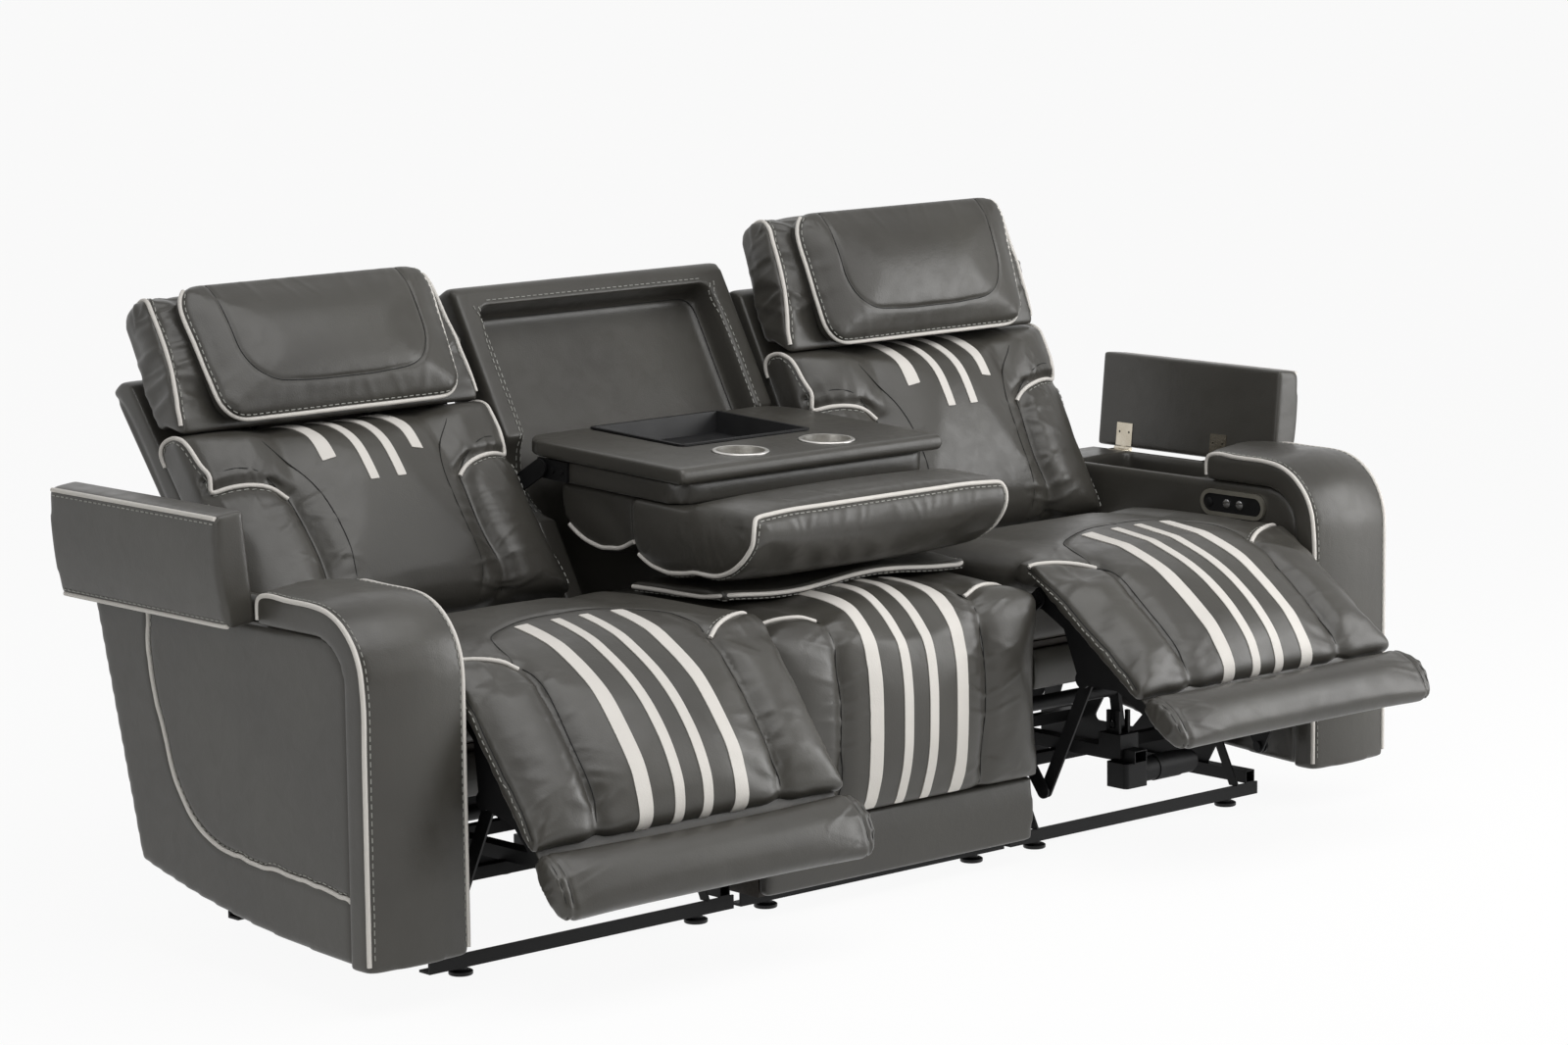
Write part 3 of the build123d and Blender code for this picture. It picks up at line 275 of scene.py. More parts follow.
def evenly(line, step):
    """The same line with its points about a step apart."""
    points = np.array(line)
    lengths = np.linalg.norm(np.diff(points, axis=0), axis=1)
    run = np.concatenate([[0], np.cumsum(lengths)])
    count = max(2, round(run[-1] / step))
    marks = np.linspace(0, run[-1], count + 1)
    return [Vector([np.interp(m, run, points[:, k]) for k in range(3)]) for m in marks]


def smooth_line(points, closed=False):
    """Points along a smooth curve through given guide points."""
    data = bpy.data.curves.new("guide", "CURVE")
    data.dimensions = "3D"
    spline = data.splines.new("BEZIER")
    spline.bezier_points.add(len(points) - 1)
    spline.use_cyclic_u = closed
    spline.resolution_u = 12
    for knot, place in zip(spline.bezier_points, points):
        knot.co = place
        knot.handle_left_type = "AUTO"
        knot.handle_right_type = "AUTO"
    guide = bpy.data.objects.new("guide", data)
    bpy.context.collection.objects.link(guide)
    mesh = bpy.data.meshes.new_from_object(guide)
    line = [v.co.copy() for v in mesh.vertices]
    bpy.data.objects.remove(guide)
    bpy.data.meshes.remove(mesh)
    if closed:
        line.append(line[0].copy())
    return line


def pairs(points):
    """The same guide points on both sides of the middle."""
    return points, [(-p[0], *p[1:]) for p in points]


def whole(half):
    """A guide line run on across the middle into its own mirror image."""
    return half + [Vector((-p.x, p.y, p.z)) for p in reversed(half) if p.x]


def lay_on(host, points, ray=None, closed=False):
    """Drops a guide line onto a piece, along a ray or to the nearest spot: spots and normals."""
    bpy.context.view_layer.update()
    spots = []
    for place in evenly(smooth_line(points, closed), LINE_STEP):
        hit = False
        if ray is not None:
            hit, spot, normal, face = host.ray_cast(place - ray * 0.5, ray)
        if not hit:
            hit, spot, normal, face = host.closest_point_on_mesh(place)
        spots.append((spot.copy(), normal.copy()))
    return spots


def lay_pair(host, points, ray=None):
    return [lay_on(host, line, ray) for line in pairs(points)]


def eased(line, rounds):
    """Takes small wobbles out of a line and keeps its ends."""
    points = np.array(line)
    for turn in range(rounds):
        soft = points.copy()
        soft[1:-1] = (points[:-2] + 2 * points[1:-1] + points[2:]) / 4
        points = soft
    return [Vector(p) for p in points]


def tube(name, lines, radius, finish, slot, detail=3):
    """Round cord along one or more lines, as one mesh."""
    data = bpy.data.curves.new(name, "CURVE")
    data.dimensions = "3D"
    data.bevel_depth = radius
    data.bevel_resolution = detail
    data.use_fill_caps = True
    for line in lines:
        spline = data.splines.new("POLY")
        spline.points.add(len(line) - 1)
        for knot, place in zip(spline.points, line):
            knot.co = (*place, 1)
    piece = bpy.data.objects.new(name, data)
    bpy.context.collection.objects.link(piece)
    activate(piece)
    bpy.ops.object.convert(target="MESH")
    piece = bpy.context.object
    smooth_faces(piece)
    return give(piece, finish, slot)


def welt(name, spots, radius=WELT_R):
    """Ivory piping sewn into a seam, proud by part of its radius."""
    line = eased([spot + normal * radius * WELT_LIFT for spot, normal in spots], 3)
    return tube(name, [line], radius, ivory_leather, "upholstery")


def seam(name, spots):
    """A thin, nearly black tube along a plain seam: painted shade in the crease where two panels meet."""
    line = eased([spot + normal * SEAM_R * SEAM_LIFT for spot, normal in spots], 8)
    return tube(name, [line], SEAM_R, seam_shade_leather, "upholstery", 1)


# Pairs of nearly black tubes of painted shade along mirrored seams
def seam_shade_pair(name, host, points, ray=None):
    return [seam(f"{name}{number}", spots)
            for number, spots in enumerate(lay_pair(host, points, ray))]


def stitch_row(name, host, spots, aside):
    """A row of topstitching beside a line, on the side that aside's sign gives."""
    bpy.context.view_layer.update()
    line = []
    for i, (spot, normal) in enumerate(spots):
        here = spots[max(i - 1, 0)][0]
        there = spots[min(i + 1, len(spots) - 1)][0]
        across = (there - here).cross(normal).normalized()
        line.append(spot + across * aside)
    line = evenly(eased(line, 3), STITCH / 3)
    period = round((STITCH + STITCH_GAP) / (STITCH / 3))
    dashes = []
    for start in range(1, len(line) - 3, period):
        dash = []
        for place in line[start:start + 4]:
            hit, spot, normal, face = host.closest_point_on_mesh(place)
            dash.append(spot + normal * THREAD_R * 0.6)
        dashes.append(dash)
    return tube(name, dashes, THREAD_R, sewing_thread, "upholstery", 0)


def stitch_pair(name, host, lines, aside):
    """Stitching beside two mirrored lines; aside is for the first."""
    return [stitch_row(f"{name}_{number}", host, spots, -aside if number else aside)
            for number, spots in enumerate(lines)]


def piped_pair(name, host, lines, aside, trim=slice(None), radius=WELT_R):
    """Piping along two mirrored lines, with stitching beside it; aside is for the first."""
    pieces = []
    for number, spots in enumerate(lines):
        pieces.append(welt(f"{name}_welt_{number}", spots, radius))
        beside = -aside if number else aside
        pieces.append(stitch_row(f"{name}_stitch_{number}", host, spots[trim], beside))
    return pieces


def stripe(name, host, path, x, width):
    """A flat ivory appliqué laid down the middle of a cover."""
    bpy.context.view_layer.update()
    rows = evenly(smooth_line(path), 0.007)
    piece = grid(name, 6, len(rows) - 1)
    places = positions(piece)
    laid = places.copy()
    for i, (u, v, w) in enumerate(places):
        row = round((v + 0.5) * (len(rows) - 1))
        ahead = rows[min(row + 1, len(rows) - 1)] - rows[max(row - 1, 0)]
        inward = Vector((0, -ahead.z, ahead.y)).normalized()
        origin = rows[row] - inward * 0.03
        origin.x = x / 1000 + u * width / 1000
        hit, spot, normal, face = host.ray_cast(origin, inward)
        if not hit:
            hit, spot, normal, face = host.closest_point_on_mesh(origin)
        laid[i] = spot + normal * 0.0007
    reshape(piece, laid)
    modify(piece, "SMOOTH", factor=0.5, iterations=2)
    modify(piece, "SOLIDIFY", thickness=0.0016, offset=0.0)
    edit(piece, bpy.ops.mesh.normals_make_consistent, inside=False)
    smooth_faces(piece, 40)
    return give(piece, ivory_leather, "upholstery")


def seat_stripes(name, host, path):
    return [stripe(f"{name}_{number}", host, path, x, width)
            for number, (x, width) in enumerate(SEAT_STRIPES)]


# Soft pieces

def grid(name, across, along):
    """A unit square of even faces, to be laid out as a sheet or stripe."""
    bpy.ops.object.select_all(action="DESELECT")
    bpy.ops.mesh.primitive_grid_add(x_subdivisions=across, y_subdivisions=along, size=1)
    piece = bpy.context.object
    piece.name = name
    return piece


def skin_of(name, nodes, place, voxel, ease=8, wadding=()):
    """One even skin over copies of CAD nodes, in a level local frame, its edges eased."""
    bpy.ops.object.select_all(action="DESELECT")
    copies = list(wadding)
    for extra in wadding:
        extra.name = name
        extra.select_set(True)
    for node_name in nodes:
        copy = bpy.data.objects.new(name, frame["nodes"][node_name].data.copy())
        bpy.context.collection.objects.link(copy)
        copy.data.materials.clear()
        settle(copy, place.inverted())
        copy.select_set(True)
        copies.append(copy)
    bpy.context.view_layer.objects.active = copies[0]
    if len(copies) > 1:
        bpy.ops.object.join()
    piece = bpy.context.object
    edit(piece, bpy.ops.mesh.remove_doubles, threshold=WELD_GAP)
    modify(piece, "REMESH", mode="VOXEL", voxel_size=voxel)
    modify(piece, "SMOOTH", factor=0.5, iterations=ease)
    return piece


def evener(piece):
    """A function that gives each point of a piece the mean of its neighbours' values."""
    ends = np.empty(len(piece.data.edges) * 2, dtype=np.int32)
    piece.data.edges.foreach_get("vertices", ends)
    ends = ends.reshape(-1, 2)
    both = np.concatenate([ends, ends[:, ::-1]])
    size = len(piece.data.vertices)
    count = np.bincount(both[:, 0], minlength=size)

    def mean(values):
        return np.stack([np.bincount(both[:, 0], values[both[:, 1], k], size) / count
                         for k in range(3)], axis=1)
    return mean


def fill_valleys(piece, where, rounds):
    """Swells hollows out to a smooth run and leaves crowns as they are."""
    mean = evener(piece)
    for turn in range(rounds):
        places = positions(piece)
        normal = outward(piece)
        lift = np.einsum("ij,ij->i", mean(places) - places, normal)
        lift = np.clip(lift, 0, None) * where
        reshape(piece, places + normal * lift[:, None])


def sampled(spots):
    """Every second spot of a laid line, and its last."""
    return [np.array(spot) for spot, normal in spots[::2]] + [np.array(spots[-1][0])]


def groove(piece, lines, depth, width):
    """Draws a piece in along seams, as soft-sided valleys."""
    for spots in lines:
        places = positions(piece)
        gap, along = near_line(places, sampled(spots))
        press = depth * np.exp(-(gap / width) ** 2)
        reshape(piece, places - outward(piece) * press[:, None])


def puckers(piece, lines, reach, depth, spacing, seed):
    """Short creases that run away from seams, uneven in place and strength."""
    for number, spots in enumerate(lines):
        places = positions(piece)
        line = sampled(spots)
        gap, along = near_line(places, line)
        near = gap < 3.5 * reach
        total = sum(np.linalg.norm(b - a) for a, b in zip(line, line[1:]))
        chance = np.random.default_rng(seed + number)
        rise = np.zeros(len(places))
        for mark in np.arange(spacing / 2, total, spacing):
            middle = mark + chance.uniform(-0.35, 0.35) * spacing
            slant = chance.uniform(-0.5, 0.5)
            height = chance.uniform(0.15, 1.0) * depth
            wide = spacing * chance.uniform(0.16, 0.28)
            drift = (along[near] - middle - slant * gap[near]) / wide
            fade = gap[near] / reach * np.exp(1 - gap[near] / reach)
            ridge = np.exp(-drift ** 2) - 0.45 * np.exp(-(drift / 1.8) ** 2)
            rise[near] += height * fade * ridge
        reshape(piece, places + outward(piece) * rise[:, None])


def plump(piece, held, pressure, slack, cap, ease):
    """Fills a skin like a cushion: cloth under pressure, held where it is sewn down."""
    before = positions(piece)
    group = piece.vertex_groups.new(name="sewn")
    group.add([int(i) for i in np.nonzero(held)[0]], 1.0, "REPLACE")
    activate(piece)
    cloth = piece.modifiers.new("cloth", "CLOTH")
    settings = {"quality": 4, "mass": 0.35, "tension_stiffness": 20, "compression_stiffness": 20,
                "shear_stiffness": 10, "bending_stiffness": 1.5, "shrink_min": -slack,
                "use_pressure": True, "uniform_pressure_force": pressure,
                "vertex_group_mass": "sewn"}
    for key, value in settings.items():
        setattr(cloth.settings, key, value)
    cloth.settings.effector_weights.gravity = 0
    cloth.collision_settings.use_collision = False
    scene = bpy.context.scene
    for step in range(1, FILL_FRAMES + 1):
        scene.frame_set(step)
    bpy.ops.object.modifier_apply(modifier=cloth.name)
    scene.frame_set(1)
    piece.vertex_groups.clear()
    moved = positions(piece) - before
    far = np.linalg.norm(moved, axis=1)
    moved *= (cap * np.tanh(far / cap) / np.maximum(far, 1e-9))[:, None]
    mean = evener(piece)
    for turn in range(ease):
        moved = (moved + mean(moved)) / 2
        moved[held] = 0
    reshape(piece, before + moved)


def keep_width(piece, half):
    """Keeps a filled skin from spreading into its neighbours."""
    places = positions(piece)
    places[:, 0] = np.clip(places[:, 0], -half, half)
    reshape(piece, places)


def near_any(piece, lines):
    """Which points of a piece lie close to any of several sewn lines."""
    places = positions(piece)
    held = np.zeros(len(places), bool)
    for spots in lines:
        gap, along = near_line(places, [np.array(spot) for spot, normal in spots[::2]])
        held |= gap < SEWN_REACH
    return held


def finer(piece):
    modify(piece, "SUBSURF", levels=1, render_levels=1)
    smooth_faces(piece)


def thin_out(piece, share):
    """Drops faces that flat stretches don't need."""
    modify(piece, "DECIMATE", ratio=share)
    smooth_faces(piece)


# Finishes

def linear(hex_code):
    """An sRGB hex value as linear colour."""
    parts = [int(hex_code[i:i + 2], 16) / 255 for i in (1, 3, 5)]
    return [c / 12.92 if c <= 0.04045 else ((c + 0.055) / 1.055) ** 2.4 for c in parts] + [1.0]


def node(tree, kind, settings=None, **links):
    """Adds a node with its settings and links."""
    made = tree.nodes.new("ShaderNode" + kind)
    for key, value in (settings or {}).items():
        if hasattr(made, key):
            setattr(made, key, value)
        else:
            made.inputs[key].default_value = value
    for key, source in links.items():
        tree.links.new(source, made.inputs[key.replace("_", " ")])
    return made


def finish_of(name):
    """A new material: itself, its node tree, its main shader and the object's own coordinates."""
    made = bpy.data.materials.new(name)
    made.use_nodes = True
    tree = made.node_tree
    return made, tree, tree.nodes["Principled BSDF"], node(tree, "TexCoord").outputs["Object"]


def set_shader(tree, shader, values, **links):
    for key, value in values.items():
        shader.inputs[key].default_value = value
    for key, source in links.items():
        tree.links.new(source, shader.inputs[key.replace("_", " ")])


def ramp(tree, source, *stops):
    """A colour ramp over a value, its two stops as (place, hex)."""
    made = node(tree, "ValToRGB", Fac=source)
    for stop, (place, code) in zip(made.color_ramp.elements, stops):
        stop.position = place
        stop.color = linear(code)
    return made.outputs["Color"]


def noise(tree, where, size, detail, **more):
    """Noise with features of about a size in metres."""
    settings = {"Scale": 1 / size, "Detail": detail, **more}
    return node(tree, "TexNoise", settings, Vector=where).outputs["Fac"]


def spread(tree, source, low, high, span=(0.0, 1.0)):
    """Maps a value's span onto another range."""
    settings = {"From Min": span[0], "From Max": span[1], "To Min": low, "To Max": high}
    return node(tree, "MapRange", settings, Value=source).outputs["Result"]


def bump(tree, height, strength, depth, **links):
    settings = {"Strength": strength, "Distance": depth}
    return node(tree, "Bump", settings, Height=height, **links).outputs["Normal"]


def make_leather(name, shades, rough, grain, gleam):
    """Coated split leather, embossed with a pebble grain: a satin skin over soft creases."""
    made, tree, shader, where = finish_of(name)
    # The pebbles are about 1.2 mm; drawn at 2.6 mm so that they show
    pebble = node(tree, "TexVoronoi", {"feature": "SMOOTH_F1", "Scale": 1 / 0.0026,
                                       "Smoothness": 0.35, "Randomness": 0.9}, Vector=where)
    crease = noise(tree, where, 0.03, 4.0, Roughness=0.55, Distortion=0.6)
    patch = noise(tree, where, 0.22, 2.0)
    soft = bump(tree, crease, 0.35, 0.0012)
    set_shader(tree, shader, {"IOR": 1.5, "Specular IOR Level": gleam},
               Base_Color=ramp(tree, patch, (0.3, shades[0]), (0.7, shades[1])),
               Roughness=spread(tree, crease, rough - 0.05, rough + 0.06, (0.3, 0.7)),
               Normal=bump(tree, pebble.outputs["Distance"], grain, 0.0005, Normal=soft))
    return made


def make_thread():
    """Bonded nylon thread: a twisted yarn with a dull sheen."""
    made, tree, shader, where = finish_of("bonded_nylon_thread")
    twist = node(tree, "TexWave", {"Scale": 1 / 0.004, "Distortion": 2.0}, Vector=where)
    set_shader(tree, shader, {"Roughness": 0.6, "IOR": 1.53},
               Base_Color=ramp(tree, twist.outputs["Fac"], (0.2, "#858580"), (0.8, "#a4a49e")))
    return made


def make_powder_coat():
    """Black polyester powder coat on pressed steel: a fine orange-peel skin, half matt."""
    made, tree, shader, where = finish_of("black_powder_coated_steel")
    peel = noise(tree, where, 0.002, 2.0)
    dust = noise(tree, where, 0.06, 3.0)
    set_shader(tree, shader, {"IOR": 1.5, "Specular IOR Level": 0.25},
               Base_Color=ramp(tree, dust, (0.35, "#0c0c0d"), (0.75, "#161617")),
               Roughness=spread(tree, dust, 0.46, 0.6), Normal=bump(tree, peel, 0.25, 0.0003))
    return made


def make_black_plastic():
    """Spark-eroded black ABS: an even matt texture with slightly rubbed high spots."""
    made, tree, shader, where = finish_of("textured_black_abs")
    spark = noise(tree, where, 0.0016, 3.0)
    rub = noise(tree, where, 0.05, 2.0)
    set_shader(tree, shader, {"IOR": 1.53, "Specular IOR Level": 0.3},
               Base_Color=ramp(tree, rub, (0.3, "#121213"), (0.8, "#1a1a1b")),
               Roughness=spread(tree, rub, 0.38, 0.52), Normal=bump(tree, spark, 0.3, 0.0002))
    return made


def make_metal(name, shades, rough, stretch):
    """Plated or drawn metal: fine drawing lines along one direction and faint handling marks."""
    made, tree, shader, where = finish_of(name)
    lay = node(tree, "Mapping", {"Scale": stretch}, Vector=where)
    lines = noise(tree, lay.outputs["Vector"], 0.004, 3.0)
    marks = noise(tree, where, 0.03, 3.0)
    set_shader(tree, shader, {"Metallic": 1.0},
               Base_Color=ramp(tree, marks, (0.3, shades[0]), (0.7, shades[1])),
               Roughness=spread(tree, lines, rough - 0.04, rough + 0.04),
               Normal=bump(tree, lines, 0.04, 0.0001))
    return made


def make_plywood():
    """Birch plywood stained black: dark long grain with faint brown streaks."""
    made, tree, shader, where = finish_of("black_stained_plywood")
    lay = node(tree, "Mapping", {"Scale": (1.0, 12.0, 12.0)}, Vector=where)
    grain = noise(tree, lay.outputs["Vector"], 0.09, 5.0, Distortion=0.8)
    set_shader(tree, shader, {"Roughness": 0.62, "IOR": 1.5},
               Base_Color=ramp(tree, grain, (0.3, "#2a2521"), (0.7, "#3a332c")),
               Normal=bump(tree, grain, 0.15, 0.0004))
    return made


def make_lining():
    """Black spun-bonded dust cloth and bin lining: a dull felted web of fine dots."""
    made, tree, shader, where = finish_of("spun_bonded_lining")
    dots = node(tree, "TexVoronoi", {"Scale": 1 / 0.003, "Randomness": 0.2}, Vector=where)
    web = dots.outputs["Distance"]
    set_shader(tree, shader, {"Roughness": 0.9, "Sheen Weight": 0.2},
               Base_Color=ramp(tree, web, (0.1, "#101011"), (0.6, "#1b1b1c")),
               Normal=bump(tree, web, 0.3, 0.0004))
    return made


charcoal_leather = make_leather("charcoal_coated_leather", ("#3a3834", "#42403b"), 0.36, 0.2, 0.5)
ivory_leather = make_leather("ivory_coated_leather", ("#ccc8c2", "#d4d0ca"), 0.55, 0.3, 0.4)
# Nearly black leather for the tubes along seams: painted shade in the seams' creases
seam_shade_leather = make_leather("painted_seam_shade", ("#191918", "#20201e"), 0.6, 0.2, 0.3)
sewing_thread = make_thread()
powder_coat = make_powder_coat()
black_abs = make_black_plastic()
stainless = make_metal("brushed_stainless_steel", ("#d6d4cf", "#e2e0dc"), 0.36, (1, 1, 0.06))
nickel = make_metal("nickel_plated_steel", ("#b3aa98", "#c9c1b2"), 0.24, (1, 1, 1))
pewter = make_metal("pewter_plated_zinc", ("#aaa69b", "#bcb8ad"), 0.5, (1, 1, 1))
chrome = make_metal("polished_chrome", ("#d4d4d6", "#e2e2e4"), 0.12, (1, 1, 1))
plywood = make_plywood()
lining = make_lining()


# Chaises: seat and footrest under one cover that bends at the knee

def on_pad(side, x, along, rise):
    """A point of the footrest, along it from the knee, in its seat's frame."""
    turn = math.radians(DROOP[side])
    y = KNEE_Y - along * math.cos(turn) - rise * math.sin(turn)
    z = KNEE_Z - along * math.sin(turn) + rise * math.cos(turn)
    return mm(x, y, z)


def bend(piece):
    """Bakes a cover piece's placement into its mesh."""
    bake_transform(piece)


def chaise_lines(side):
    """Guide lines of the chaise's seams, in the seat's frame."""
    down = ((183, 40, 80), (182, 120, 80), (182, 200, 76), (182, 258, 64), (182, 282, 42))
    middle = [mm(186, -452, 486)] + [on_pad(side, *p) for p in down]
    lip = [mm(309, -404, 492), mm(270, -412, 494), mm(230, -428, 492), mm(188, -452, 486)]
    top = [mm(190, -440, 490), mm(182, -390, 508), mm(160, -345, 514), mm(110, -318, 516),
           mm(0, -306, 518)]
    down = ((309, 30, 52), (310, 120, 54), (310, 220, 54), (309, 266, 48))
    edge = [mm(306, -404, 488)] + [on_pad(side, *p) for p in down]
    return middle, lip, top, edge


def make_knee_roll():
    """Wadding under the cover, between the seat's lip and the footrest."""
    bpy.ops.object.select_all(action="DESELECT")
    bpy.ops.mesh.primitive_cylinder_add(vertices=24, radius=0.021, depth=0.612)
    roll = bpy.context.object
    lie_down = Matrix.Rotation(math.pi / 2, 4, "Y")
    roll.data.transform(Matrix.Translation(mm(0, -391, 478)) @ lie_down)
    return roll


def sewn_on_chaise(cover, side, lines):
    """Which points of a chaise stay put: along its seams, at its rear and underneath."""
    places = positions(cover)
    turn = math.radians(DROOP[side])
    ahead = KNEE_Y / 1000 - places[:, 1]
    below = KNEE_Z / 1000 - places[:, 2]
    past_knee = ahead * math.cos(turn) + below * math.sin(turn) > 0.02
    rise = ahead * math.sin(turn) - below * math.cos(turn)
    held = near_any(cover, lines)
    held |= past_knee & (rise < 0.034)
    held |= ~past_knee & (places[:, 2] < 0.42)
    return held | (places[:, 1] > -0.05)


def make_chaise_cover(side):
    cover = skin_of(f"{side}_chaise_cover", [f"{side}_seat_cushion", f"{side}_footrest_pad"],
                    seat_place[side], voxel=0.008, wadding=[make_knee_roll()])
    places = positions(cover)
    reach = np.hypot(places[:, 1] - KNEE_Y / 1000, places[:, 2] - KNEE_Z / 1000)
    over_knee = np.clip((0.17 - reach) / 0.04, 0, 1) * (places[:, 2] > 0.445)
    fill_valleys(cover, over_knee, 90)
    seam_line, lip_line, top_line, edge_line = chaise_lines(side)
    seams = lay_pair(cover, seam_line)
    lips = lay_pair(cover, lip_line)
    groove(cover, seams, depth=0.008, width=0.016)
    groove(cover, lips, depth=0.004, width=0.012)
    held = sewn_on_chaise(cover, side, seams + lips)
    plump(cover, held, pressure=5.0, slack=0.01, cap=0.014, ease=12)
    keep_width(cover, HALF_SEAT)
    finer(cover)
    tops = lay_pair(cover, top_line)
    edges = lay_pair(cover, edge_line)
    puckers(cover, seams, reach=0.018, depth=0.002, spacing=0.034, seed=11)
    puckers(cover, lips, reach=0.026, depth=0.0026, spacing=0.036, seed=21)
    puckers(cover, edges, reach=0.02, depth=0.002, spacing=0.04, seed=25)
    groove(cover, seams, depth=0.006, width=0.006)
    groove(cover, tops, depth=0.002, width=0.006)
    groove(cover, edges, depth=0.0025, width=0.005)
    return leather(cover)


def make_chaise(side):
    cover = make_chaise_cover(side)
    seam_line, lip_line, top_line, edge_line = chaise_lines(side)
    pieces = [cover]
    for row, line in enumerate((seam_line, top_line, edge_line)):
        pieces += seam_shade_pair(f"{side}_chaise_seam_{row}", cover, line)
    pieces += piped_pair(f"{side}_chaise_lip", cover, lay_pair(cover, lip_line), 0.008)
    edges = lay_pair(cover, edge_line)
    pieces += stitch_pair(f"{side}_chaise_edge_stitch", cover, edges, -0.006)
    path = [mm(0, -334, 512), mm(0, -372, 508)]
    path += [on_pad(side, 0, along, rise) for along, rise in STRIPE_ON_PAD]
    pieces += seat_stripes(f"{side}_chaise_stripe", cover, path)
    for piece in pieces:
        settle(piece, seat_place[side])
        bend(piece)
    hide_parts(f"{side}_seat_cushion", f"{side}_footrest_pad")


for side in SIDES:
    make_chaise(side)


# Footrest flaps

def make_flap():
    """The plain roll beyond the footrest, drawn in by end seams."""
    roll = skin_of("flap", ["left_footrest_flap"], pad_place["left"], voxel=0.006, ease=10)
    ends = []
    for x in (-293, -306, 293, 306):
        ring = ((-292, 36), (-300, 62), (-344, 74), (-382, 62), (-400, 42), (-390, 27))
        ends.append(lay_on(roll, [mm(x, y, z) for y, z in ring]))
    held = near_any(roll, ends)
    held |= positions(roll)[:, 2] < 0.032
    plump(roll, held, pressure=4.0, slack=0.006, cap=0.006, ease=12)
    keep_width(roll, 0.316)
    finer(roll)
    puckers(roll, ends[::2], reach=0.024, depth=0.0025, spacing=0.026, seed=31)
    pieces = [leather(roll)]
    for number, spots in enumerate(ends):
        groove(roll, [spots], depth=0.003, width=0.005)
        pieces.append(seam(f"flap_seam_{number}", lay_on(roll, [s for s, n in spots[::4]])))
    return pieces


def make_flap_hinge():
    """The strip of leather that joins the flap to the footrest."""
    strip = grid("flap_hinge_strip", 40, 6)
    places = positions(strip)
    across = places[:, 1] * 2
    reshape(strip, np.stack([places[:, 0] * 0.59, -0.2865 + across * 0.017,
                             0.0335 + 0.004 * across ** 2], axis=1))
    modify(strip, "SOLIDIFY", thickness=0.0022, offset=0.0)
    smooth_faces(strip, 40)
    return leather(strip)


both_sides(make_flap() + [make_flap_hinge()], mirrored(pad_place), "footrest",
           {"flap": ("footrest_flap", 0.8)})


# Backs

PANEL_SEAM = [(205, 418), (190, 370), (155, 325), (130, 275), (119, 200), (119, 150),
              (125, 100), (120, 50)]
WAIST_SEAM = [(172, 266), (167, 210), (165, 150), (172, 90), (172, 46)]
WING_EDGE = [(318, 5, 392), (318, -22, 418), (310, -48, 434), (310, -78, 418), (318, -100, 385),
             (320, -110, 345), (314, -116, 314)]
WING_HEM = [(300, 299), (262, 298), (222, 291), (190, 279), (172, 264)]
WING_FOLD = [(298, 322), (262, 325), (226, 316), (196, 296), (174, 268)]
BOLSTER_ROW = [(303, 286), (304, 200), (303, 120), (300, 52)]


def on_front(points):
    """Guide points given as x and height on a back's front."""
    return [mm(x, -150, z) for x, z in points]


def make_back_cover():
    """Back cushion: a middle panel, shoulder wings over side bolsters, and a waist between."""
    cover = skin_of("back_cover", ["left_back_cushion"], back_place["left"], voxel=0.007, ease=10)
    panel, waist, hem, fold = (lay_pair(cover, on_front(guide), BACKWARD)
                               for guide in (PANEL_SEAM, WAIST_SEAM, WING_HEM, WING_FOLD))
    rear = positions(cover)[:, 1] > -0.03
    shape_wings(cover)
    groove(cover, waist, depth=0.014, width=0.016)
    groove(cover, hem, depth=0.007, width=0.014)
    groove(cover, fold, depth=0.005, width=0.011)
    held = near_any(cover, waist + hem) | rear
    plump(cover, held, pressure=4.0, slack=0.008, cap=0.014, ease=14)
    keep_width(cover, HALF_SEAT)
    finer(cover)
    groove(cover, panel, depth=0.0035, width=0.005)
    puckers(cover, waist, reach=0.02, depth=0.003, spacing=0.03, seed=41)
    groove(cover, waist, depth=0.005, width=0.005)
    puckers(cover, hem, reach=0.016, depth=0.0018, spacing=0.026, seed=51)
    groove(cover, fold, depth=0.0045, width=0.005)
    return leather(cover)


def shape_wings(cover):
    """Pads the shoulder wings out over the side bolsters below them."""
    places = positions(cover)
    x = np.abs(places[:, 0]) * 1000
    z = places[:, 2] * 1000
    front = np.clip((-places[:, 1] * 1000 - 30) / 25, 0, 1)
    low = np.interp(x, [172, 190, 220, 260, 300], [264, 279, 291, 297, 298])
    above = np.clip((z - low) / 14, 0, 1)
    across = np.clip((x - 150) / 60, 0, 1) * np.clip((314 - x) / 22, 0, 1)
    high = np.clip((425 - z) / 30, 0, 1)
    wing = above * across * high * front
    bolster = (1 - above) * np.clip((x - 172) / 40, 0, 1) * np.clip((314 - x) / 24, 0, 1) * front
    push = 0.012 * wing + 0.004 * bolster
    places[:, 1] -= push
    reshape(cover, places)


